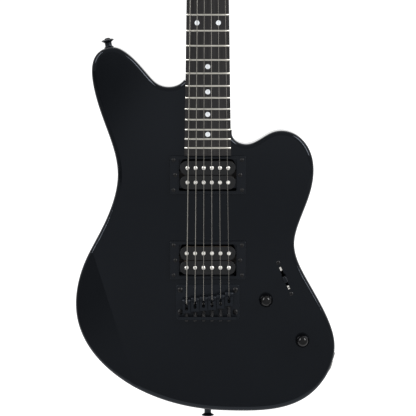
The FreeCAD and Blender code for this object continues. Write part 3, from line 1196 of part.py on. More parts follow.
def make_knob(label, x, z):
    """A smooth domed knob, hollow underneath, on the potentiometer's shaft."""
    body = doc.addObject("PartDesign::Body", f"{label}_knob_body")
    blank = body.newObject("PartDesign::AdditiveCone", f"{label}_knob_blank")
    bind(blank, Radius1="knob_size / 2", Radius2="knob_size / 2 - 0.8", Height="knob_height")
    place(blank, x, f"{FACE_Y} - knob_lift", z, FORWARD)
    doc.recompute()
    top = blank.Shape.BoundBox.YMin
    rim = [f"Edge{index}" for index, edge in enumerate(blank.Shape.Edges, start=1)
           if edge.BoundBox.YMax < top + 0.1]
    fillet = body.newObject("PartDesign::Fillet", f"{label}_knob_dome")
    fillet.Base = (blank, rim)
    bind(fillet, Radius="knob_size * 0.3")
    hollow = rod(f"{label}_knob_hollow", "knob_size / 2 - 1.6", "5", x, f"{FACE_Y} - knob_lift + 1",
                 z, FORWARD)
    bore = rod(f"{label}_knob_bore", "pot_shaft / 2", "knob_height - 2", x,
               f"{FACE_Y} - knob_lift + 1", z, FORWARD)
    shaft_rod = rod(f"{label}_shaft", "pot_shaft / 2",
                    "cavity_roof + knob_lift + knob_height - 3 + 4", x, f"{CAVITY_FLOOR_Y} + 4", z,
                    FORWARD)
    return group(f"{label}_knob_group", cut(f"{label}_knob", body, hollow, bore), shaft_rod)


pots = [make_pot("volume", *VOLUME), make_pot("tone", *TONE)]
node("potentiometers", group("pot_pair", *pots))
node("volume_knob", make_knob("volume", *VOLUME))
node("tone_knob", make_knob("tone", *TONE))
pot_holes = [rod(f"{label}_pot_hole", "3.9 + run_gap", "cavity_roof + 4", x, f"{FACE_Y} - 1", z,
                 BACKWARD) for label, (x, z) in (("volume", VOLUME), ("tone", TONE))]


def lean(item):
    """Move a piece of the selector switch from its own frame to its slanted place."""
    item.Placement = Placement(Vector(), Rotation(Vector(0, -1, 0), value("switch_tilt")))
    return bind(item, Placement__Base__x=SWITCH[0], Placement__Base__z=SWITCH[1],
                Placement__Rotation__Angle="switch_tilt")


# The switch in its own frame: its length along Z, its middle at the origin.
PIVOT_Y = f"({FACE_Y} + switch_pivot_depth)"


def switch_end(side, reach):
    return f"({side} * {reach})"


def make_switch_frame():
    top = box("switch_top", "11", "1.4", "switch_length", "0", CAVITY_FLOOR_Y, "-switch_length / 2")
    window = box("switch_window", "4.6", "4", "switch_slot_length", "0", f"{CAVITY_FLOOR_Y} - 1",
                 "-switch_slot_length / 2")
    cheeks = [box(f"switch_cheek_{side}", "1.2", "14", "30", f"{side} * 3.4", CAVITY_FLOOR_Y, "-15")
              for side in (-1, 1)]
    pin_hole = rod("switch_pin_hole", "1.2 + run_gap", "12", "-6", PIVOT_Y, "0", SIDEWAYS)
    screw_holes = [rod(f"switch_frame_hole_{side}", "1.35", "4",
                       "0", f"{CAVITY_FLOOR_Y} - 1", switch_end(side, "switch_screw_span / 2"),
                       BACKWARD) for side in (-1, 1)]
    frame = cut("switch_frame_cut", fuse("switch_frame_solid", top, *cheeks), window, pin_hole,
                *screw_holes)
    wafer = box("switch_wafer", "1.4", "13", "38", "6.2", f"{CAVITY_FLOOR_Y} + 1.5", "-19")
    return lean(group("switch_frame_group", frame, wafer))


def make_switch_lever():
    blade = box("lever_blade", "1.6", "switch_pivot_depth + 9", "4.4", "0", f"{FACE_Y} - 9", "-2.2")
    hub = rod("lever_hub", "2.6", "4", "-2", PIVOT_Y, "0", SIDEWAYS)
    pin = rod("lever_pin", "1.2", "8", "-4", PIVOT_Y, "0", SIDEWAYS)
    body = doc.addObject("PartDesign::Body", "lever_tip_body")
    block = body.newObject("PartDesign::AdditiveBox", "lever_tip_box")
    bind(block, Length="5.6", Width="12", Height="8")
    place(block, "-2.8", f"{FACE_Y} - 18", "-4")
    fillet = body.newObject("PartDesign::Fillet", "lever_tip_round")
    doc.recompute()
    fillet.Base = (block, [f"Edge{index}" for index in range(1, 13)])
    bind(fillet, Radius="1.8")
    socket = box("lever_socket", "1.6", "4", "4.4", "0", f"{FACE_Y} - 9", "-2.2")
    tip = cut("lever_tip", body, socket)
    return lean(group("switch_lever_group", fuse("lever_metal", blade, hub, pin), tip))


node("switch_frame", make_switch_frame())
node("switch_lever", make_switch_lever())


def switch_slot(sketch):
    """The slot in the face, in the switch's own frame."""
    run = "(switch_slot_length - switch_slot_width) / 2"
    capsule(sketch, ("0", f"-({run})"), ("0", run), "switch_slot_width / 2")


slot_prism = prism("switch_slot", switch_slot, f"{CAVITY_FLOOR_Y} + 1", "cavity_roof + 3")
switch_screw_holes = [rod(f"switch_hole_{side}", "1.35", "cavity_roof + 4", "0", f"{FACE_Y} - 1",
                          switch_end(side, "switch_screw_span / 2"), BACKWARD) for side in (-1, 1)]
switch_opening = lean(group("switch_opening", slot_prism, *switch_screw_holes))


def switch_axis_point(reach):
    """A point on the switch's long axis, in the guitar's frame."""
    return (f"({SWITCH[0]} - {reach} * sin(switch_tilt))", f"({SWITCH[1]} + {reach} * cos(switch_tilt))")


def cavity_shape(name, grow, back, depth):
    """The control cavity's outline as overlapping capsules between the controls."""
    def controls(sketch):
        capsule(sketch, VOLUME, TONE, f"cavity_reach + {grow}")

    def selector(sketch):
        capsule(sketch, switch_axis_point("(switch_length / 2 - 8)"),
                switch_axis_point("(8 - switch_length / 2)"), f"switch_reach + {grow}")

    def link(sketch):
        capsule(sketch, TONE, switch_axis_point("(8 - switch_length / 2)"),
                f"switch_reach + {grow}")

    def lead_way(sketch):
        capsule(sketch, VOLUME, switch_axis_point("(8 - switch_length / 2)"),
                f"switch_reach + {grow}")

    drawn = [("controls", controls), ("selector", selector), ("link", link),
             ("lead_way", lead_way)]
    return fuse(name, *[prism(f"{name}_{part}", draw, back, depth) for part, draw in drawn])


cavity = cavity_shape("control_cavity", "0", f"{BACK_Y} + 1", "body_thick + 1 - cavity_roof")
cover_recess = cavity_shape("cover_recess", "cover_lap + fit_gap", f"{BACK_Y} + 1",
                            "cover_thick + 1")
cover_blank = cavity_shape("cover_blank", "cover_lap", BACK_Y, "cover_thick")
LEDGE_REACH = "(cavity_reach + cover_lap / 2)"
COVER_SCREWS = [
    (f"({spot[0]} + {LEDGE_REACH} * {across})", f"({spot[1]} + {LEDGE_REACH} * {along})")
    for spot, across, along in ((VOLUME, -0.94, 0.34), (TONE, 0.6, -0.8), (VOLUME, -0.42, -0.91))
]
cover_screw_spots = [(x, BACK_Y, z, AROUND) for x, z in COVER_SCREWS]
cover_holes_back = [rod(f"cover_hole_{index}", "1.25", "cover_thick + 2", x, f"{BACK_Y} + 1", z, FORWARD)
                    for index, (x, z) in enumerate(COVER_SCREWS, start=1)]
cover_pilots = [rod(f"cover_pilot_{index}", "1.1", "14", x, f"{BACK_Y} + 1", z, FORWARD)
                for index, (x, z) in enumerate(COVER_SCREWS, start=1)]
node("control_cover", cut("control_cover_cut", cover_blank, *cover_holes_back))


# ---------------------------------------------------------------------------- output jack
JACK_AT = rim_frame("0.475", "jack_share_z")
JACK_SEAT = -2.4                                # depth of the plate's seat in the rim


def on_rim(item):
    """Move a piece that was built along Z to the jack's place on the rim."""
    item.Placement = JACK_AT
    return item


jack_plate_disc = rod("jack_plate_disc", "jack_plate_size / 2", "2", "0", "0", str(JACK_SEAT))
jack_plate_hole = rod("jack_plate_hole", "jack_barrel / 2 + run_gap", "6", "0", "0", "-4")
JACK_SCREWS = [f"({side} * (jack_plate_size / 2 - 4.5))" for side in (-1, 1)]
jack_screw_holes = [rod(f"jack_plate_screw_hole_{index}", "1.2", "6", "0", y, "-4")
                    for index, y in enumerate(JACK_SCREWS, start=1)]
node("jack_plate", on_rim(group("jack_plate_group", cut("jack_plate_cut", jack_plate_disc,
                                                        jack_plate_hole, *jack_screw_holes))))
barrel = rod("jack_barrel", "jack_barrel / 2", "14", "0", "0", "-12")
jack_nut = doc.addObject("Part::Prism", "jack_nut")
bind(jack_nut, Circumradius="jack_barrel / 2 + 2.4", Height="2.2")
place(jack_nut, "0", "0", f"{JACK_SEAT} + 2")
jack_flange = rod("jack_flange", "7.6", "1.6", "0", "0", f"{JACK_SEAT} - 1.6 - 0.4")
jack_stack = box("jack_stack", "13", "11", "5", "0", "-5.5", "-16.5")
jack_tip_spring = box("jack_tip_spring", "1", "5", "22", "6", "-2.5", "-38")
jack_opening = rod("jack_opening", "jack_bore / 2", "24", "0", "0", "-20")
node("output_jack", on_rim(group("jack_group", cut(
    "jack_cut", fuse("jack_solid", barrel, jack_nut, jack_flange, jack_stack, jack_tip_spring),
    jack_opening))))
jack_room = rod("jack_room", "11", "54.5", "0", "0", f"{JACK_SEAT} - 54")
jack_recess = rod("jack_recess", "jack_plate_size / 2 + fit_gap", "12", "0", "0", str(JACK_SEAT))
jack_pilots = [rod(f"jack_pilot_{index}", "1.1", "14", "0", y, "-16")
               for index, y in enumerate(JACK_SCREWS, start=1)]
jack_route = on_rim(group("jack_route", fuse("jack_route_solid", jack_room, jack_recess,
                                             *jack_pilots)))

small_screw = screw("small_screw", "2.2", "1.1", "1.05", "9")
switch_bolt = screw("switch_bolt", "2.6", "1.2", "1.3", "cavity_roof + 2")
cover_screws = copies("cover_screw_link", small_screw, cover_screw_spots)
cover_screws.append(lean(group("switch_bolts", *copies("switch_bolt_link", switch_bolt, [
    ("0", FACE_Y, switch_end(side, "switch_screw_span / 2"), UPRIGHT) for side in (-1, 1)]))))
cover_screws.append(tilt(group("tuner_screws", *copies("tuner_screw_link", tuner_screw,
                                                       tuner_screw_spots))))
cover_screws.append(tilt(group("rod_cover_screws", *copies("rod_cover_screw_link", small_screw, [
    (str(x), "-2", str(z), UPRIGHT) for x, z in ROD_COVER_SCREWS]))))
cover_screws.append(on_rim(group("jack_screws", *copies("jack_screw_link", small_screw, [
    ("0", y, f"{JACK_SEAT} + 2", HEAD_UP) for y in JACK_SCREWS]))))
node("small_screws", group("small_screw_set", *cover_screws))
head_blank_cut.Tool.Shapes = head_blank_cut.Tool.Shapes + [
    rod(f"rod_cover_pilot_{index}", "1.1", "9", str(x), "-1", str(z), BACKWARD)
    for index, (x, z) in enumerate(ROD_COVER_SCREWS, start=1)]


# ------------------------------------------------------------------------------- strings
def polyline_solid(points, radius):
    """Round bar along straight runs, with a ball at each bend."""
    bars = []
    for start, end in zip(points, points[1:]):
        run = end - start
        bars.append(Part.makeCylinder(radius, run.Length, start, run))
    for point in points[1:-1]:
        bars.append(Part.makeSphere(radius, point))
    return bars[0].fuse(bars[1:]).removeSplitter()


def head_point(x, y, z):
    """A point of the headstock's own frame in the guitar's frame."""
    lean_back = math.radians(value("head_angle"))
    return Vector(x, value(BOARD_BACK_Y) + y * math.cos(lean_back) + z * math.sin(lean_back),
                  value(HINGE_Z) - y * math.sin(lean_back) + z * math.cos(lean_back))


STRING_TUNER = [1, 2, 3, 6, 5, 4]              # the tuner of each string, low to high
WRAP_DEPTH = 6                                 # string's wrap in front of the headstock's face


def make_string(string):
    """A string from its ball in the ferrule over saddle and nut to its tuner post."""
    radius = STRING_RADII[string]
    face = value(FACE_Y)
    x_low, x_high = value(saddle_x(string)), value(nut_x(string))
    height = value(string_height(string))
    nut_height = value(f"nut_action - {crown_drop(nut_x(string))}")
    index = STRING_TUNER[string] - 1
    side = TUNERS[index][0]
    post_x, post_z = (value(part) for part in tuner_spots[index])
    wrap_radius = value("post_size") / 2 + 0.05 + radius
    turns = 3 if radius < 0.3 else 2
    nut_end = value(NUT_Z)
    break_z = value(BRIDGE_Z) + INTONATION[string]
    points = [
        Vector(x_low, value(BACK_Y) - 3.2, value(STRING_HOLE_Z)),
        Vector(x_low, face - value("bridge_thick"), value(STRING_HOLE_Z)),
        Vector(x_low, face - height + NOTCH_DROP, break_z - NOTCH_RUN),
        Vector(x_low, face - height, break_z),
        Vector(x_high, face - nut_height, nut_end),
        Vector(x_high, face - nut_height, nut_end + value("nut_thick")),
        head_point(post_x - side * wrap_radius, -WRAP_DEPTH + radius, post_z)]
    wire = polyline_solid(points, radius)
    ball = Part.makeCylinder(1.9, 2.8, points[0] - Vector(1.4, 0, 0), Vector(1, 0, 0))
    axis = head_point(post_x, 0, post_z) - head_point(post_x, 1, post_z)
    foot = head_point(post_x, -WRAP_DEPTH + 2 * radius, post_z)
    outer = Part.makeCylinder(wrap_radius + radius, 2 * radius * turns, foot, axis)
    inner = Part.makeCylinder(wrap_radius - radius, 2 * radius * turns + 2, foot - axis, axis)
    return wire.fuse([ball, outer.cut(inner)]).removeSplitter()


strings = doc.addObject("Part::Feature", "string_set")
strings.Shape = Part.Compound([make_string(string) for string in range(6)])
node("strings", strings)


# -------------------------------------------------------------------------------- wiring
def make_wiring():
    """Leads from pickups and jack to the controls, and the tone capacitor."""
    deep = value(FACE_Y) + value("route_depth") - 2.2
    low = value(CAVITY_FLOOR_Y) + value("pot_height") + 3
    volume = Vector(value(VOLUME[0]), low, value(VOLUME[1]))
    tone = Vector(value(TONE[0]), low, value(TONE[1]))
    selector = Vector(value(SWITCH[0]) + 2, low + 4, value(SWITCH[1]) - 14)
    leads = []
    for offset, centre in ((0, NECK_PICKUP_Z), (3, BRIDGE_PICKUP_Z)):
        start = Vector(value("ring_open_width") / 2 - 8 - offset, deep, value(centre))
        elbow = Vector(start.x, deep, value(BRIDGE_PICKUP_Z) - 8 - offset)
        leads.append(polyline_solid([start, elbow, volume + Vector(-6 - offset, 0, 6)], 0.8))
    leads.append(polyline_solid([volume + Vector(4, 0, 0), selector], 0.7))
    leads.append(polyline_solid([volume + Vector(4, 0, -4), tone + Vector(-4, 0, 4)], 0.7))
    jack_end = JACK_AT.multVec(Vector(-4, 0, -19))
    inside = JACK_AT.multVec(Vector(-4, 0, -40))
    leads.append(polyline_solid([jack_end, inside, tone + Vector(4, 0, -2)], 0.7))
    capacitor = Part.makeCylinder(4.5, 2.6, (volume + tone) * 0.5 + Vector(0, 3, 0), Vector(0, 1, 0))
    return Part.Compound(leads + [capacitor])


wiring = doc.addObject("Part::Feature", "wiring_set")
wiring.Shape = make_wiring()
node("wiring", wiring)


def make_lead_routes():
    """Drilled ways for the leads: between the pickup routes and on to the controls."""
    deep = value(FACE_Y) + value("route_depth") - 2.2
    low = value(CAVITY_FLOOR_Y) + value("pot_height") + 3
    x = value("ring_open_width") / 2 - 9.5
    upper, lower = value(NECK_PICKUP_Z), value(BRIDGE_PICKUP_Z)
    start = Vector(x, deep, lower - 9.5)
    end = Vector(value(VOLUME[0]) - 7.5, low, value(VOLUME[1]) + 6)
    run = end - start
    along = Part.makeCylinder(4, upper - lower, Vector(x, deep, lower), Vector(0, 0, 1))
    return Part.Compound([along, Part.makeCylinder(4, run.Length, start, run)])


lead_routes = doc.addObject("Part::Feature", "lead_routes")
lead_routes.Shape = make_lead_routes()


def pocket_outline(sketch):
    """The neck pocket: the heel's outline with clearance, open towards the neck."""
    low, high = value(HEEL_Z) - value("fit_gap"), value(JOINT_Z) + value("heel_length")
    ends = [(low, value("board_end_width")), (high, value(board_width_at(high)))]
    corners = [Vector(side * (width / 2 + value("fit_gap")), z, 0)
               for z, width in ends for side in (-1, 1)]
    order = [corners[0], corners[1], corners[3], corners[2]]
    lines = [Part.LineSegment(corner, order[(index + 1) % 4]) for index, corner in enumerate(order)]
    sketch.addGeometry(lines, False)
    for index in range(4):
        sketch.addConstraint(Sketcher.Constraint("Coincident", index, 2, (index + 1) % 4, 1))


neck_pocket = prism("neck_pocket", pocket_outline, f"{FACE_Y} + pocket_depth", "pocket_depth + 4")
node("body", cut("body_cut", body_blank, neck_pocket, cavity, cover_recess, switch_opening,
                 jack_route, lead_routes, *pickup_routes, *ring_pilots, *bridge_pilots,
                 *string_holes, *ferrule_seats_back, *ferrule_seats, *strap_seats, *strap_pilots,
                 *pot_holes, *cover_pilots))


# -------------------------------------------------------------------------------- export
doc.recompute()
failed = [item.Name for item in doc.Objects if {"Invalid", "Error"} & set(item.State)]
if failed:
    raise RuntimeError(f"failed objects: {failed}")
for name, item in NODES.items():
    if item.Shape.isNull() or not item.Shape.isValid() or not item.Shape.Solids:
        raise RuntimeError(f"{name} has no valid solid")

os.makedirs("parts", exist_ok=True)
for name, item in NODES.items():
    item.Shape.exportStep(f"parts/{name}.step")
print(f"{len(NODES)} nodes")
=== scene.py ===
"""The looks of a solid-body electric guitar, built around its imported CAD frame."""

import json
import math

import bmesh
import bpy
import numpy as np
from mathutils import Matrix, Vector

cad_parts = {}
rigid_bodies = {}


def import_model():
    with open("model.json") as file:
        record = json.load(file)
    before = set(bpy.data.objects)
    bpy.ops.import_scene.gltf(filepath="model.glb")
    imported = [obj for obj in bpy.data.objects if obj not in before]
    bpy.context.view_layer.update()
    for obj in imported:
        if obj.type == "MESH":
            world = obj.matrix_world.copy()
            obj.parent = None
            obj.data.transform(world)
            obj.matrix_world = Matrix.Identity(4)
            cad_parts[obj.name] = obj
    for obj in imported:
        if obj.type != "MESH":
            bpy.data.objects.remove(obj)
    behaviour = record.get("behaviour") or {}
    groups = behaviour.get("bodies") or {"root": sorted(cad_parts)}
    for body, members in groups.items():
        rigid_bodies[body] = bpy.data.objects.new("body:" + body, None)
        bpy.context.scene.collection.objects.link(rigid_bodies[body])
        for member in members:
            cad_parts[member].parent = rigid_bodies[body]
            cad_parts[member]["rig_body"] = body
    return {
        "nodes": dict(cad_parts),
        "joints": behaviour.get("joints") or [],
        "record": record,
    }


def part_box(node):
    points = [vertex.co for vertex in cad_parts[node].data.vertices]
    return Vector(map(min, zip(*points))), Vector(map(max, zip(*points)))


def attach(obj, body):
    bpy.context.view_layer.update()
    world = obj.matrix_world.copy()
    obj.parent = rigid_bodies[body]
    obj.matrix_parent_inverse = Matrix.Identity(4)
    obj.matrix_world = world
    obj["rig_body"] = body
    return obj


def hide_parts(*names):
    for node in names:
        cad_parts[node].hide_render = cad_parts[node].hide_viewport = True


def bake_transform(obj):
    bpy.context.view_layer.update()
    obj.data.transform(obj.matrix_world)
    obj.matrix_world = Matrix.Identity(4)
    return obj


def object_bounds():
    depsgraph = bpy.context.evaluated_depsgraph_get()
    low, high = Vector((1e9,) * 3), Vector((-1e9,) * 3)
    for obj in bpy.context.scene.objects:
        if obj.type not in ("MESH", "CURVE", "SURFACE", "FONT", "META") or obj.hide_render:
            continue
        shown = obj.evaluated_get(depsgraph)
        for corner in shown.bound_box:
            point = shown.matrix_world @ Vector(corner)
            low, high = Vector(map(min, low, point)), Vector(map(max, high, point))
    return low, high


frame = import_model()
CAD_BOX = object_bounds()
NODES = frame["nodes"]
JOINTS = {joint["name"]: joint for joint in frame["joints"]}
MM = 0.001
FRONT = Matrix.Rotation(math.pi / 2, 4, "X")        # turns local +Z to the front, -Y


# ------------------------------------------------------------------ reading the frame
def solids(node):
    """The vertices of each separate solid of a CAD node, as arrays."""
    mesh = NODES[node].data
    points = np.array([vertex.co for vertex in mesh.vertices])
    keys, first = np.unique(np.round(points, 6), axis=0, return_inverse=True)
    parent = list(range(len(keys)))

    def root(index):
        while parent[index] != index:
            parent[index] = parent[parent[index]]
            index = parent[index]
        return index

    first = first.ravel()
    for edge in mesh.edges:
        a, b = root(first[edge.vertices[0]]), root(first[edge.vertices[1]])
        if a != b:
            parent[a] = b
    roots = np.array([root(index) for index in first])
    return [points[roots == number] for number in np.unique(roots)]


def middle(points):
    """Middle of the box round some points."""
    return Vector((points.min(0) + points.max(0)) / 2)


def body_of(node):
    return NODES[node]["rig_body"]


# ----------------------------------------------------------------------- mesh building
def lathe(profile, segments=32):
    """Turns (radius, height) pairs in millimetres round local Z.  A radius of 0 closes an end."""
    verts, faces, rings = [], [], []
    for radius, height in profile:
        if radius <= 0:
            rings.append([len(verts)])
            verts.append((0, 0, height * MM))
            continue
        rings.append(range(len(verts), len(verts) + segments))
        for step in range(segments):
            angle = 2 * math.pi * step / segments
            verts.append((radius * MM * math.cos(angle), radius * MM * math.sin(angle), height * MM))
    for low, high in zip(rings, rings[1:]):
        for step in range(segments):
            after = (step + 1) % segments
            if len(low) == 1:
                faces.append((low[0], high[step], high[after]))
            elif len(high) == 1:
                faces.append((low[step], high[0], low[after]))
            else:
                faces.append((low[step], high[step], high[after], low[after]))
    return verts, faces


def tube(path, radius, sides=12):
    """A closed round tube of that radius in metres along a path of points."""
    path = [Vector(point) for point in path]
    verts, faces = [], []
    side = None
    for index, point in enumerate(path):
        ahead = path[min(index + 1, len(path) - 1)] - path[max(index - 1, 0)]
        ahead.normalize()
        if side is None:
            side = ahead.orthogonal()
        side = (side - ahead * side.dot(ahead)).normalized()
        other = ahead.cross(side)
        for step in range(sides):
            angle = 2 * math.pi * step / sides
            verts.append(point + (side * math.cos(angle) + other * math.sin(angle)) * radius)
    for ring in range(len(path) - 1):
        for step in range(sides):
            after = (step + 1) % sides
            low, high = ring * sides, (ring + 1) * sides
            faces.append((low + step, low + after, high + after, high + step))
    faces.append(tuple(range(sides))[::-1])
    faces.append(tuple(range(len(verts) - sides, len(verts))))
    return verts, faces


def helix(radius, wire, length, turns, sides=8, steps=20):
    """A coil spring along local Z, in millimetres, with its end turns closed up."""
    path = []
    count = int(turns * steps)
    for step in range(count + 1):
        share = step / count
        rise = share - 0.06 * math.sin(2 * math.pi * share)
        angle = 2 * math.pi * turns * share
        path.append((radius * MM * math.cos(angle), radius * MM * math.sin(angle),
                     (wire / 2 + rise * (length - wire)) * MM))
    return tube(path, wire / 2 * MM, sides)


def moved(part, matrix):
    verts, faces = part
    return [matrix @ Vector(vert) for vert in verts], faces


def mesh_part(mesh):
    return [vert.co.copy() for vert in mesh.vertices], [tuple(face.vertices) for face in mesh.polygons]


def carved(part, cutters):
    """A part with closed cutter parts taken out of it."""
    blank = mesh_object("carving_blank", [part])
    blank_cutters = [mesh_object(f"carving_cutter_{index}", [cutter])
                     for index, cutter in enumerate(cutters)]
    for cutter in blank_cutters:
        carve = blank.modifiers.new("carve", "BOOLEAN")
        carve.object = cutter
        carve.operation = "DIFFERENCE"
        carve.solver = "EXACT"
    evaluated = blank.evaluated_get(bpy.context.evaluated_depsgraph_get())
    result = bpy.data.meshes.new_from_object(evaluated)
    verts_faces = mesh_part(result)
    for item in [blank, *blank_cutters]:
        bpy.data.objects.remove(item)
    return verts_faces


def block(size, centre=(0, 0, 0), taper=1.0):
    """A box in millimetres whose bottom is taper times as large as its top."""
    verts = []
    for height, share in ((-0.5, taper), (0.5, 1.0)):
        for x, y in ((-0.5, -0.5), (0.5, -0.5), (0.5, 0.5), (-0.5, 0.5)):
            verts.append(((centre[0] + x * size[0] * share) * MM, (centre[1] + y * size[1] * share) * MM,
                          (centre[2] + height * size[2]) * MM))
    faces = [(3, 2, 1, 0), (4, 5, 6, 7), (0, 1, 5, 4), (1, 2, 6, 5), (2, 3, 7, 6), (3, 0, 4, 7)]
    return verts, faces


def mesh_object(name, parts, smooth_degrees=35):
    """One object from (vertices, faces) parts, smooth but for its sharp edges."""
    verts, faces = [], []
    for part_verts, part_faces in parts:
        start = len(verts)
        verts += [tuple(vert) for vert in part_verts]
        faces += [tuple(index + start for index in face) for face in part_faces]
    mesh = bpy.data.meshes.new(name)
    mesh.from_pydata(verts, [], faces)
    mesh.shade_smooth()
    mesh.set_sharp_from_angle(angle=math.radians(smooth_degrees))
    made = bpy.data.objects.new(name, mesh)
    bpy.context.scene.collection.objects.link(made)
    bpy.context.view_layer.update()
    return made


def round_edges(made, width, segments=2, angle=32):
    """A modifier that rounds sharp edges, in millimetres."""
    weld = made.modifiers.new("weld", "WELD")
    weld.merge_threshold = 0.002 * MM
    bevel = made.modifiers.new("round_edges", "BEVEL")
    bevel.width = width * MM
    bevel.segments = segments
    bevel.limit_method = "ANGLE"
    bevel.angle_limit = math.radians(angle)
    bevel.harden_normals = True
    return made


def piece(name, parts, look, body, replaces=(), smooth_degrees=35):
    """A finished piece: its mesh, material, body and the CAD nodes that it stands for."""
    made = mesh_object(name, parts, smooth_degrees)
    made.data.materials.append(look)
    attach(made, body)
    if replaces:
        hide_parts(*replaces)
    return made


# --------------------------------------------------------------------------- materials
def look(name, colour, roughness, metallic=0.0, specular=0.5, coat=0.0, coat_roughness=0.05,
         vary=0.12, scale=(400, 400, 400), bump=0.03, bump_scale=1.0, rough_vary=0.3, depth=0.0002,
         sheen=0.0):
    """A procedural finish: colour, roughness and relief each vary over the surface."""
    material = bpy.data.materials.new(name)
    material.use_nodes = True
    tree = material.node_tree
    shader = tree.nodes["Principled BSDF"]
    shader.inputs["Metallic"].default_value = metallic
    shader.inputs["Specular IOR Level"].default_value = specular
    shader.inputs["Coat Weight"].default_value = coat
    shader.inputs["Coat Roughness"].default_value = coat_roughness
    shader.inputs["Sheen Weight"].default_value = sheen
    place = tree.nodes.new("ShaderNodeTexCoord")
    stretch = tree.nodes.new("ShaderNodeMapping")
    stretch.inputs["Scale"].default_value = scale
    tree.links.new(place.outputs["Object"], stretch.inputs["Vector"])
    noise = tree.nodes.new("ShaderNodeTexNoise")
    noise.inputs["Scale"].default_value = 1.0
    noise.inputs["Detail"].default_value = 5.0
    tree.links.new(stretch.outputs["Vector"], noise.inputs["Vector"])
    ramp = tree.nodes.new("ShaderNodeValToRGB")
    ramp.color_ramp.elements[0].position = 0.3
    ramp.color_ramp.elements[1].position = 0.7
    ramp.color_ramp.elements[0].color = (*[channel * (1 - vary) for channel in colour], 1)
    ramp.color_ramp.elements[1].color = (*[min(1, channel * (1 + vary)) for channel in colour], 1)
    tree.links.new(noise.outputs["Fac"], ramp.inputs["Fac"])
    tree.links.new(ramp.outputs["Color"], shader.inputs["Base Color"])
    spread = tree.nodes.new("ShaderNodeMapRange")
    spread.inputs["To Min"].default_value = max(0.01, roughness * (1 - rough_vary))
    spread.inputs["To Max"].default_value = min(1, roughness * (1 + rough_vary))
    tree.links.new(noise.outputs["Fac"], spread.inputs["Value"])
    tree.links.new(spread.outputs["Result"], shader.inputs["Roughness"])
    fine = tree.nodes.new("ShaderNodeTexNoise")
    fine.inputs["Scale"].default_value = 2.2 * bump_scale
    fine.inputs["Detail"].default_value = 3.0
    tree.links.new(stretch.outputs["Vector"], fine.inputs["Vector"])
    relief = tree.nodes.new("ShaderNodeBump")
    relief.inputs["Strength"].default_value = bump
    relief.inputs["Distance"].default_value = depth
    tree.links.new(fine.outputs["Fac"], relief.inputs["Height"])
    tree.links.new(relief.outputs["Normal"], shader.inputs["Normal"])
    return material


def wood_look(name):
    """Dark oiled fingerboard wood with pores and streaks along its grain."""
    material = look(name, (0.013, 0.012, 0.0125), 0.42, vary=0.45, scale=(900, 900, 35), bump=0.25,
                    rough_vary=0.25, specular=0.32)
    return material


def wound_look(name):
    """Nickel wire wound round a core: fine rings along the string."""
    material = look(name, (0.40, 0.385, 0.35), 0.34, metallic=1.0, vary=0.1, scale=(300, 300, 300))
    tree = material.node_tree
    rings = tree.nodes.new("ShaderNodeTexWave")
    rings.bands_direction = "Z"
    rings.inputs["Scale"].default_value = 420
    place = tree.nodes["Texture Coordinate"]
    tree.links.new(place.outputs["Object"], rings.inputs["Vector"])
    relief = tree.nodes["Bump"]
    relief.inputs["Strength"].default_value = 0.6
    relief.inputs["Distance"].default_value = 0.00006
    tree.links.new(rings.outputs["Fac"], relief.inputs["Height"])
    return material


def tape_look(name):
    """Tan paper tape round a coil, creased."""
    return look(name, (0.50, 0.30, 0.13), 0.62, vary=0.3, scale=(260, 260, 520), bump=0.5)


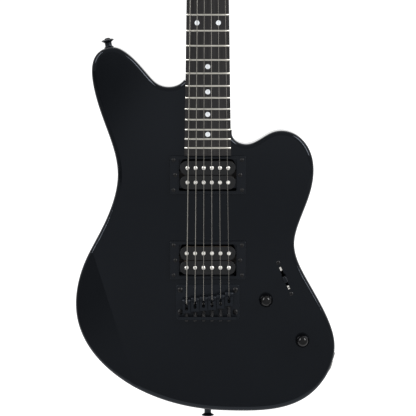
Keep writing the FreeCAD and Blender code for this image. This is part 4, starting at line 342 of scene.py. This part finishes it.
LOOKS = {
    "body_lacquer": look("black_lacquer", (0.0010, 0.0013, 0.0018), 0.07, specular=0.26, vary=0.25,
                         scale=(14, 14, 14), bump=0.02, bump_scale=6.0, rough_vary=0.25),
    "neck_satin": look("neck_lacquer", (0.003, 0.0033, 0.0038), 0.16, specular=0.3, vary=0.2,
                       scale=(30, 30, 8), bump=0.03),
    "ebony": wood_look("dark_fingerboard_wood"),
    "fret_nickel": look("fret_nickel", (0.66, 0.64, 0.58), 0.32, metallic=1.0, vary=0.06,
                        scale=(40, 500, 500), bump=0.05),
    "dot_white": look("pearl_dots", (0.72, 0.75, 0.78), 0.22, specular=0.5, vary=0.12,
                      scale=(180, 180, 180), bump=0.02),
    "nut_black": look("graphite_nut", (0.012, 0.012, 0.013), 0.35, vary=0.2, bump=0.06),
    "steel": look("plain_steel", (0.42, 0.42, 0.42), 0.32, metallic=1.0, vary=0.12, bump=0.06),
    "black_plastic": look("satin_black_plastic", (0.0028, 0.0032, 0.004), 0.3, specular=0.27,
                          vary=0.15, scale=(900, 900, 900), bump=0.09),
    "bobbin_black": look("bobbin_plastic", (0.0062, 0.0066, 0.0074), 0.4, specular=0.3, vary=0.15,
                         scale=(800, 800, 800), bump=0.08),
    "pole_nickel": look("pole_nickel", (0.93, 0.91, 0.86), 0.33, metallic=1.0, vary=0.08,
                        scale=(500, 500, 500), bump=0.06),
    "copper_wire": tape_look("coil_tape"),
    "magnet_grey": look("cast_magnet", (0.09, 0.09, 0.095), 0.62, metallic=0.6, vary=0.25, bump=0.4),
    "dark_plate": look("dark_plate", (0.02, 0.02, 0.021), 0.5, specular=0.3, vary=0.2, bump=0.06),
    "dark_spring": look("dark_spring", (0.03, 0.03, 0.032), 0.35, specular=0.45, vary=0.12, bump=0.06),
    "plated_steel": look("nickel_plate", (0.55, 0.54, 0.5), 0.3, metallic=1.0, vary=0.12,
                         scale=(60, 400, 400), bump=0.06),
    "black_metal": look("black_plating", (0.003, 0.0037, 0.005), 0.3, specular=0.28, vary=0.15,
                        scale=(500, 500, 500), bump=0.06),
    "black_screw": look("black_oxide", (0.004, 0.004, 0.005), 0.36, specular=0.34, vary=0.2,
                        scale=(700, 700, 700), bump=0.08),
    "string_steel": wound_look("wound_string"),
    "plain_string": look("plain_string", (0.62, 0.59, 0.54), 0.4, metallic=1.0, vary=0.06,
                         scale=(300, 300, 40), bump=0.03),
    "knob_black": look("knob_gloss", (0.0015, 0.0015, 0.002), 0.06, specular=0.3, vary=0.2,
                       scale=(60, 60, 60), bump=0.01),
    "pot_metal": look("stamped_can", (0.5, 0.5, 0.48), 0.35, metallic=1.0, vary=0.12, bump=0.1),
    "wire_cover": look("wire_cloth", (0.03, 0.03, 0.035), 0.6, vary=0.25, scale=(900, 900, 900),
                       bump=0.4),
    "cover_black": look("grained_cover", (0.008, 0.008, 0.009), 0.5, vary=0.15,
                        scale=(1100, 1100, 1100), bump=0.5)}
SLOTS = {entry["node"]: entry["material_slot"] for entry in frame["record"]["subparts"]}
SOFT_EDGES = {"pickup_rings": 0.5, "pickup_bobbins": 0.35, "bridge_plate": 0.4, "control_cover": 0.4,
              "jack_plate": 0.4, "truss_rod_cover": 0.4, "nut": 0.3, "strap_buttons": 0.4,
              "tuner_housings": 0.8, "tuner_bushings": 0.3, "string_ferrules": 0.3,
              "neck_screw_cups": 0.3, "output_jack": 0.2, "potentiometers": 0.4,
              "pickup_baseplates": 0.3, "pickup_coils": 0.5, "pickup_magnets": 0.3,
              "switch_frame": 0.2, "frets": 0.2}
SOFT_EDGES.update({f"saddle_{number}": 0.45 for number in range(1, 7)})
SOFT_EDGES.update({f"tuner_post_{number}": 0.25 for number in range(1, 7)})


# Painted shade: parts that sit under the pickups and behind the saddles get dark finishes for the shade
# they lie in.
SHADE_DARKENED = {"pickup_baseplates": "dark_plate", "pickup_springs": "dark_spring",
            "intonation_springs": "dark_spring"}


# Painted light: a cool tint put into the black finishes' reflections.
PAINTED_COOL_REFLECTION = (0.78, 0.86, 1.0, 1.0)


def tint_black_reflections_cool():
    """Painted reflection colour: the black finishes' specular tint turns their reflections cool."""
    for slot in ("body_lacquer", "black_plastic", "black_metal"):
        nodes = LOOKS[slot].node_tree.nodes
        shader = next(item for item in nodes if item.type == "BSDF_PRINCIPLED")
        shader.inputs["Specular Tint"].default_value = PAINTED_COOL_REFLECTION


def dress_nodes():
    """Gives every CAD node its finish, and the small metal and plastic ones softened edges."""
    for node, shown in NODES.items():
        shown.data.materials.clear()
        shown.data.materials.append(LOOKS[SHADE_DARKENED.get(node, SLOTS[node])])
        if node in SOFT_EDGES:
            round_edges(shown, SOFT_EDGES[node])


# ------------------------------------------------------------------------------ screws
def cross_head(size, height, rim=0.25):
    """A domed screw head with a cross recess; its seat is at local Z 0."""
    profile = [(0, 0), (size / 2, 0), (size / 2, rim)]
    for step in range(1, 8):
        angle = math.pi / 2 * step / 8
        profile.append((size / 2 * math.cos(angle), rim + (height - rim) * math.sin(angle)))
    profile.append((0, height))
    head = lathe(profile, 32)
    arm, wide, deep = size * 0.62, size * 0.17, height * 0.9
    cutters = [block((arm, wide, deep), (0, 0, height - deep * 0.28), 0.55),
               block((wide, arm, deep), (0, 0, height - deep * 0.28), 0.55)]
    return carved(head, cutters)


def slot_head(size, height, rim=0.3):
    """A domed pole screw head with a straight slot."""
    profile = [(0, 0), (size / 2, 0), (size / 2, rim)]
    for step in range(1, 8):
        angle = math.pi / 2 * step / 8
        profile.append((size / 2 * math.cos(angle), rim + (height - rim) * math.sin(angle)))
    profile.append((0, height))
    return carved(lathe(profile, 32), [block((size * 1.2, size * 0.16, 1.2), (0, 0, height))])


def thread(core, length, pitch=1.0, height=0.28, point=True):
    """A screw shank down local -Z with ridges and, if asked, a point."""
    profile = [(0, -length)]
    if point:
        profile.append((core * 0.2, -length + core * 0.5))
    else:
        profile.append((core / 2, -length))
    ridges = int((length - core * 2) / pitch)
    for ridge in range(ridges, 0, -1):
        at = -ridge * pitch
        profile += [(core / 2, at - pitch * 0.35), (core / 2 + height, at), (core / 2, at + pitch * 0.35)]
    profile += [(core / 2, 0), (0, 0)]
    return lathe(profile, 14)


def axis_frame(origin, direction):
    """A matrix with its Z axis along a direction."""
    z = Vector(direction).normalized()
    return Matrix.Translation(origin) @ z.to_track_quat("Z", "Y").to_matrix().to_4x4()


def main_axis(points):
    """The long direction of a slim solid."""
    offset = points - points.mean(0)
    values, vectors = np.linalg.eigh(offset.T @ offset)
    return Vector(vectors[:, -1])


def screws_from(node, name, heads):
    """Screws on the axes of a node's own solids; heads maps a head diameter to its shape."""
    parts = []
    ordered = sorted(solids(node), key=lambda p: tuple(np.round(p.mean(0), 4)))
    for index, points in enumerate(ordered):
        axis = main_axis(points)
        centre = Vector(points.mean(0))
        along = (points - np.array(centre)) @ np.array(axis)
        away = np.linalg.norm(points - np.array(centre) - np.outer(along, np.array(axis)), axis=1)
        widest = along[away > away.max() * 0.97]
        if widest.mean() < (along.max() + along.min()) / 2:
            axis, along, widest = -axis, -along, -widest
        foot = centre + axis * float(widest.min())
        line = points - np.array(centre)
        core = float(away[along < along.min() + 0.4 * (widest.min() - along.min())].max()) / MM
        size = float(away.max()) * 2 / MM
        rise = float(along.max() - widest.min()) / MM
        length = float(widest.min() - along.min()) / MM
        drift = Vector(line[along > widest.min() - 1e-5].mean(0))
        foot = centre + drift - axis * drift.dot(axis) + axis * float(widest.min())
        key = (round(size, 1), round(rise, 1))
        if key not in heads:
            heads[key] = cross_head(size, rise)
        matrix = axis_frame(foot, axis) @ Matrix.Rotation(0.4 + 1.1 * index, 4, "Z")
        parts.append(moved(heads[key], matrix))
        parts.append(moved(thread(core * 2 - 0.1, length, min(1.0, length / 6), core * 0.12), matrix))
    return piece(name, parts, LOOKS["black_screw"], body_of(node), [node])


# ----------------------------------------------------------------------------- pickups
def make_poles():
    """Slotted pole screws on the outer rows and dimpled slugs on the inner rows."""
    poles = solids("pickup_poles")
    lengths = [points[:, 1].max() - points[:, 1].min() for points in poles]
    border = (min(lengths) + max(lengths)) / 2
    screw_parts, slug_parts = [], []
    for index, (points, length) in enumerate(zip(poles, lengths)):
        top = Vector((middle(points).x, points[:, 1].min(), middle(points).z))
        size = (points[:, 0].max() - points[:, 0].min()) / MM
        if length > border:
            rise = 1.1
            matrix = Matrix.Translation(top + Vector((0, rise * MM, 0))) @ FRONT
            turn = Matrix.Rotation(0.9 + 0.7 * index, 4, "Z")
            screw_parts.append(moved(slot_head(size, rise), matrix @ turn))
            screw_parts.append(moved(thread(3.0, length / MM - rise, 0.8, 0.2, False), matrix))
        else:
            half, tall = size / 2, length / MM
            profile = [(0, -tall), (half, -tall), (half, -0.35), (half - 0.1, -0.1), (half - 0.35, 0),
                       (0.75, 0), (0.5, -0.12), (0.28, -0.3), (0, -0.34)]
            slug_parts.append(moved(lathe(profile, 32), Matrix.Translation(top) @ FRONT))
    look_used = LOOKS["pole_nickel"]
    piece("pole_screws", screw_parts, look_used, body_of("pickup_poles"),
          ["pickup_poles"])
    piece("pole_slugs", slug_parts, look_used, body_of("pickup_poles"),
          ["pickup_poles"])


def make_springs():
    """Coil springs round the pickup height screws and behind the saddles, in a dark finish that paints
    the shade they sit in.
    """
    parts = []
    for points in solids("pickup_springs"):
        low, high = points[:, 1].min(), points[:, 1].max()
        size = (points[:, 0].max() - points[:, 0].min()) / MM
        spot = Matrix.Translation((middle(points).x, high, middle(points).z)) @ FRONT
        parts.append(moved(helix(size / 2 - 0.35, 0.7, (high - low) / MM, 5), spot))
    piece("height_springs", parts, LOOKS["dark_spring"], body_of("pickup_springs"),
          ["pickup_springs"])
    springs = sorted(solids("intonation_springs"), key=lambda p: p[:, 0].mean())
    for number, points in enumerate(springs, start=1):
        low, high = points[:, 2].min(), points[:, 2].max()
        size = (points[:, 0].max() - points[:, 0].min()) / MM
        spot = Matrix.Translation((middle(points).x, middle(points).y, low))
        turns = (high - low) / MM / 1.3
        made = mesh_object(f"intonation_spring_{number}",
                           [moved(helix(size / 2 - 0.26, 0.52, (high - low) / MM, turns), spot)])
        made.data.materials.append(LOOKS["dark_spring"])
        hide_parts("intonation_springs")
        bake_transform(made)


# ------------------------------------------------------------------------------ bridge
def make_intonation_screws():
    """Cross-headed screws that run through the rear wall into each saddle."""
    head = None
    for number in range(1, 7):
        node = f"intonation_screw_{number}"
        low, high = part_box(node)
        across = (high.x - low.x) / MM
        points = solids(node)[0]
        wide = points[np.abs(points[:, 0] - (low.x + high.x) / 2) > across * 0.47 * MM]
        seat = wide[:, 2].max()
        rise = (seat - low.z) / MM
        head = head or cross_head(across, rise)
        spot = Matrix.Translation(((low.x + high.x) / 2, (low.y + high.y) / 2, seat))
        down = spot @ Matrix.Rotation(math.pi, 4, "X")
        size = 2.7
        parts = [moved(head, down @ Matrix.Rotation(0.8 * number, 4, "Z")),
                 moved(thread(size, (high.z - seat) / MM, 0.5, 0.12, False), down)]
        piece(f"intonation_bolt_{number}", parts, LOOKS["black_screw"], body_of(node),
              [node])


# ----------------------------------------------------------------------------- strings
STRING_RADII = (0.58, 0.46, 0.33, 0.22, 0.17, 0.13)
STRING_POSTS = (1, 2, 3, 6, 5, 4)


def ring_at(points, height, reach=1.5):
    """Middle of a string's section near a height."""
    near = points[np.abs(points[:, 2] - height) < reach * MM]
    return middle(near)


def make_strings():
    """Each string from its ball over saddle and nut, wound round its post."""
    nut_low, nut_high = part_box("nut")
    cad = sorted(solids("strings"), key=lambda p: p[np.argmin(p[:, 1])][0])
    wound, plain = [], []
    for index, points in enumerate(cad):
        radius = STRING_RADII[index] * MM
        saddle_low, saddle_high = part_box(f"saddle_{index + 1}")
        x = (saddle_low.x + saddle_high.x) / 2
        crest_z = saddle_high.z - 3.4 * MM
        crest = Vector((x, ring_at(points, crest_z).y, crest_z))
        ball = points[points[:, 1] > points[:, 1].max() - 4 * MM]
        hole_z = middle(ball).z
        deep = points[:, 1].max() - 1.9 * MM
        plate_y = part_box("bridge_plate")[1].y - 2 * MM
        nut_front = ring_at(points, nut_low.z)
        nut_back = ring_at(points, nut_high.z)
        post = JOINTS[f"post_{STRING_POSTS[index]}_turn"]
        axis = Vector(post["axis"]).normalized()
        side = 1 if post["pos_m"][0] > 0 else -1
        base = Vector(post["pos_m"])
        wrap_points = points[points[:, 2] > base.z - 9 * MM]
        heights = (wrap_points - np.array(base)) @ np.array(axis)
        top_of_wrap = float(heights.max()) - radius
        wrap_radius = 3.05 * MM + radius
        outward = Vector((1, 0, 0))
        along = axis.cross(outward).normalized()
        if along.z < 0:
            along = -along
        path = [(x, deep, hole_z), (x, plate_y, hole_z)]
        saddle_dip = Vector((x, crest.y + 1.5 * MM, crest_z - 2.3 * MM))
        path += [saddle_dip, crest.lerp(saddle_dip, 0.35), crest, nut_front, nut_back]
        turns = 3 if radius < 0.3 * MM else 2
        steps = 24
        pitch = radius * 2.12
        start = base + axis * top_of_wrap
        for step in range(int(turns * steps) + 1):
            angle = 2 * math.pi * step / steps
            around = -side * math.cos(angle) * outward + math.sin(angle) * along
            path.append(start + around * wrap_radius - axis * (pitch * step / steps))
        parts = [tube(path, radius, 12)]
        ball_profile = [(0, -1.4), (1.9, -1.4), (1.9, -0.9), (1.3, -0.5), (1.3, 0.5), (1.9, 0.9),
                        (1.9, 1.4), (0, 1.4)]
        sideways = Matrix.Rotation(math.pi / 2, 4, "Y")
        parts.append(moved(lathe(ball_profile, 20), Matrix.Translation((x, deep, hole_z)) @ sideways))
        (wound if index < 3 else plain).extend(parts)
    piece("wound_strings", wound, LOOKS["string_steel"], body_of("strings"),
          ["strings"])
    piece("plain_strings", plain, LOOKS["plain_string"], body_of("strings"),
          ["strings"])


# ---------------------------------------------------------------------------- controls
def make_knobs():
    """Glossy domed knobs, hollow underneath, each on its shaft."""
    for label in ("volume", "tone"):
        node = f"{label}_knob"
        knob = max(solids(node), key=lambda p: p[:, 0].max() - p[:, 0].min())
        low, high = Vector(knob.min(0)), Vector(knob.max(0))
        half, tall = (high.x - low.x) / 2 / MM, (high.y - low.y) / MM
        profile = [(0, 4.8), (3.1, 4.8), (3.1, 1.2), (half - 1.6, 1.2), (half - 1.5, 0.2),
                   (half - 1.2, 0), (half - 0.25, 0), (half, 0.3), (half - 0.1, 1.2)]
        flank = tall * 0.56
        for step in range(9):
            angle = math.pi / 2 * step / 9
            profile.append(((half - 0.45) * math.cos(angle) ** 0.72,
                            flank + (tall - flank) * math.sin(angle)))
        profile.append((0, tall))
        spot = Matrix.Translation(((low.x + high.x) / 2, high.y, (low.z + high.z) / 2)) @ FRONT
        shaft = min(solids(node), key=lambda p: p[:, 0].max() - p[:, 0].min())
        reach = (shaft[:, 1].max() - high.y) / MM
        rod = lathe([(0, -reach), (2.7, -reach), (3, -reach + 0.3), (3, 4.5), (0, 4.5)], 24)
        made = piece(f"{label}_dome", [moved(lathe(profile, 64), spot), moved(rod, spot)],
                     LOOKS["knob_black"], body_of(node), [node])
        made.modifiers.new("smoother", "SUBSURF").levels = 1


LEAF_DEPTH, LEAF_WIDTH, LEAF_THICK = 1.3, 2.3, 0.8
LEAVES = ((12.4, 4.6), (-11.0, 2.0), (-13.8, 1.6))      # place along the slot and length


def make_contacts():
    """Three bright contact leaves in the selector's slot: one at its upper end, two at its lower."""
    joint = JOINTS["switch_throw"]
    lean = -math.atan2(joint["axis"][2], joint["axis"][0])
    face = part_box("body")[0].y
    spot = (Matrix.Translation((joint["pos_m"][0], face + LEAF_DEPTH * MM, joint["pos_m"][2]))
            @ Matrix.Rotation(lean, 4, "Y") @ FRONT)
    leaves = [moved(block((LEAF_WIDTH, length, LEAF_THICK), (0, along, 0)), spot)
              for along, length in LEAVES]
    piece("switch_contacts", leaves, LOOKS["pole_nickel"], body_of("switch_frame"), [])


# ------------------------------------------------------------------------------ tuners
def make_buttons():
    """Kidney-shaped tuner buttons, each on its stem."""
    for number in range(1, 7):
        node = f"tuner_button_{number}"
        low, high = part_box(node)
        side = 1 if low.x > 0 else -1
        outer = high.x if side > 0 else low.x
        y, z = (low.y + high.y) / 2, (low.z + high.z) / 2
        reach = (high.x - low.x) / MM
        joint = JOINTS[f"tuner_{number}_turn"]
        lean = Matrix.Rotation(-math.radians(12), 4, "X")
        spot = Matrix.Translation((outer, y, z)) @ lean @ Matrix.Scale(side, 4, (1, 0, 0))
        ring, rows = 40, 14
        verts, faces = [], []
        for row in range(rows + 1):
            tilt = math.pi * row / rows
            for step in range(ring):
                angle = 2 * math.pi * step / ring
                wide = 1 - 0.10 * math.cos(angle) - 0.06 * math.cos(2 * angle)
                across = math.sin(tilt) ** 0.55
                x = -9 + 8.9 * math.copysign(abs(math.cos(angle)) ** 0.8, math.cos(angle)) * across
                h = 10.3 * math.copysign(abs(math.sin(angle)) ** 0.8, math.sin(angle)) * across * wide
                d = 3.9 * math.copysign(abs(math.cos(tilt)) ** 0.7, math.cos(tilt))
                verts.append((x * MM, d * MM, h * MM))
        for row in range(rows):
            for step in range(ring):
                after = (step + 1) % ring
                faces.append((row * ring + step, row * ring + after, (row + 1) * ring + after,
                              (row + 1) * ring + step))
        stem_profile = [(0, 0), (1.9, 0), (1.9, reach - 21), (2.6, reach - 20.5), (3.2, reach - 19.8),
                        (3.2, reach - 17), (2.2, reach - 16), (0, reach - 15.5)]
        inward = Matrix.Translation((-reach * MM, 0, 0)) @ Matrix.Rotation(math.pi / 2, 4, "Y")
        parts = [moved((verts, faces), spot), moved(lathe(stem_profile, 20), spot @ inward)]
        made = piece(f"button_{number}", parts, LOOKS["black_metal"], body_of(node),
                     [node], 60)
        assert joint["child"] == body_of(node)
        made.modifiers.new("smoother", "SUBSURF").levels = 1


# ------------------------------------------------------------------------------- stage
CAMERA_ACROSS = 0.0003
CAMERA_DISTANCE = 3.5
CAMERA_HEIGHT = 0.539
AIM_HEIGHT = 0.2486
AIM_DEPTH = -0.0225
LENS = 247.65


def make_camera():
    """The camera stands well back, a little above the body, and looks slightly down."""
    data = bpy.data.cameras.new("camera")
    camera = bpy.data.objects.new("camera", data)
    bpy.context.scene.collection.objects.link(camera)
    data.lens = LENS
    data.sensor_width = 36
    data.clip_end = 200
    camera.location = (CAMERA_ACROSS, -CAMERA_DISTANCE, CAMERA_HEIGHT)
    aim = Vector((CAMERA_ACROSS, AIM_DEPTH, AIM_HEIGHT)) - camera.location
    camera.rotation_euler = aim.to_track_quat("-Z", "Y").to_euler()
    bpy.context.scene.camera = camera


FRONT_LIGHT = 0.6           # the studio in front of the guitar
NEAR_FRONT_SHARE = 0.36     # what is left of it on the floor close in front, dimmed to paint the lacquer's lower face darker
LEFT_SHARE = 0.1            # and to the left, dimmed to paint a darker reflection into the forearm bevel
BACK_LIGHT = 1.15           # the white behind the guitar
WHITE_FROM = 0.42           # sine of the heading at which the white is full
WHITE_FORWARD = 0.12        # how far the floor's white starts in front of the guitar
FLOOR_DROP = 0.0004
FLOOR_RADIUS = 16.0


def fade(tree, source, start, end, first, last):
    """A level that runs from first to last as its source runs from start to end."""
    node = tree.nodes.new("ShaderNodeMapRange")
    for label, number in (("From Min", start), ("From Max", end), ("To Min", first), ("To Max", last)):
        node.inputs[label].default_value = number
    tree.links.new(source, node.inputs["Value"])
    return node


def brightness(tree, x, y, near, front=None):
    """Node tree for the studio's paleness, also the floor's painted glow: white behind the guitar, softer
    in front of it.
    """
    def maths(operation, first, second):
        node = tree.nodes.new("ShaderNodeMath")
        node.operation = operation
        for socket, source in zip(node.inputs, (first, second)):
            if isinstance(source, (int, float)):
                socket.default_value = source
            elif source is not None:
                tree.links.new(source, socket)
        return node.outputs[0]

    shifted = maths("ADD", y, near)
    square = maths("ADD", maths("MULTIPLY", x, x), maths("MULTIPLY", shifted, shifted))
    length = maths("SQRT", maths("ADD", square, 0.4 * near * near + 1e-6), None)
    ahead = maths("DIVIDE", shifted, length)
    spread = fade(tree, ahead, 0.0, WHITE_FROM, FRONT_LIGHT, BACK_LIGHT)
    spread.interpolation_type = "SMOOTHSTEP"
    if front is not None:
        tree.links.new(front, spread.inputs["To Min"])
    return spread.outputs["Result"]


def make_floor():
    """A glowing floor under the tail: its emission is painted light, white behind the guitar and darker
    in front of it and to the left, shaped for the lacquer's reflections.
    """
    low = CAD_BOX[0].z - FLOOR_DROP
    bm = bmesh.new()
    bmesh.ops.create_circle(bm, cap_ends=True, segments=96, radius=FLOOR_RADIUS)
    mesh = bpy.data.meshes.new("floor")
    bm.to_mesh(mesh)
    bm.free()
    floor = bpy.data.objects.new("floor", mesh)
    floor.location.z = low
    bpy.context.scene.collection.objects.link(floor)
    material = bpy.data.materials.new("glowing_floor")
    material.use_nodes = True
    tree = material.node_tree
    shader = tree.nodes["Principled BSDF"]
    shader.inputs["Base Color"].default_value = (0.25, 0.25, 0.25, 1)
    shader.inputs["Roughness"].default_value = 0.9
    shader.inputs["Specular IOR Level"].default_value = 0.0
    shader.inputs["Emission Color"].default_value = (1, 1, 1, 1)
    place = tree.nodes.new("ShaderNodeTexCoord")
    split = tree.nodes.new("ShaderNodeSeparateXYZ")
    tree.links.new(place.outputs["Object"], split.inputs[0])
    x, y = split.outputs["X"], split.outputs["Y"]
    # Painted light: the floor's glow is dimmed close in front and to the left, so the lacquer reflects it
    # darker there.
    front = fade(tree, y, -6.0, -0.8, FRONT_LIGHT, FRONT_LIGHT * NEAR_FRONT_SHARE)
    side = fade(tree, x, -0.42, -0.26, LEFT_SHARE, 1.0)
    both = tree.nodes.new("ShaderNodeMath")
    both.operation = "MULTIPLY"
    tree.links.new(front.outputs["Result"], both.inputs[0])
    tree.links.new(side.outputs["Result"], both.inputs[1])
    tree.links.new(brightness(tree, x, y, WHITE_FORWARD, both.outputs[0]),
                   shader.inputs["Emission Strength"])
    mesh.materials.append(material)


def make_world():
    """A world that carries the floor's brightness on, by heading alone."""
    world = bpy.data.worlds.new("studio")
    bpy.context.scene.world = world
    world.use_nodes = True
    tree = world.node_tree
    place = tree.nodes.new("ShaderNodeTexCoord")
    split = tree.nodes.new("ShaderNodeSeparateXYZ")
    tree.links.new(place.outputs["Generated"], split.inputs[0])
    strength = brightness(tree, split.outputs["X"], split.outputs["Y"], 0.0)
    tree.links.new(strength, tree.nodes["Background"].inputs["Strength"])
    tree.nodes["Background"].inputs["Color"].default_value = (1, 1, 1, 1)


def soft_light(name, place, aim, size, power):
    """A rectangular lamp that faces a point."""
    data = bpy.data.lights.new(name, "AREA")
    data.shape = "RECTANGLE"
    data.size, data.size_y = size
    data.energy = power
    light = bpy.data.objects.new(name, data)
    light.location = place
    light.rotation_euler = (Vector(aim) - Vector(place)).to_track_quat("-Z", "Y").to_euler()
    bpy.context.scene.collection.objects.link(light)


def make_lights():
    """Two tall lamps in front, the right one a little wider and stronger."""
    soft_light("key_right", (1.7, -1.5, 1.5), (0, 0, 0.2), (0.9, 1.6), 46)
    soft_light("key_left", (-1.7, -1.5, 1.5), (0, 0, 0.2), (0.7, 1.6), 34)


make_camera()
tint_black_reflections_cool()
dress_nodes()
make_poles()
make_springs()
make_intonation_screws()
HEADS = {}
screws_from("pickup_screws", "ring_and_height_screws", HEADS)
screws_from("wood_screws", "body_screws", HEADS)
screws_from("small_screws", "trim_screws", HEADS)
make_strings()
make_knobs()
make_contacts()
make_buttons()
make_floor()
make_world()
make_lights()
bpy.context.scene.view_settings.view_transform = "Standard"
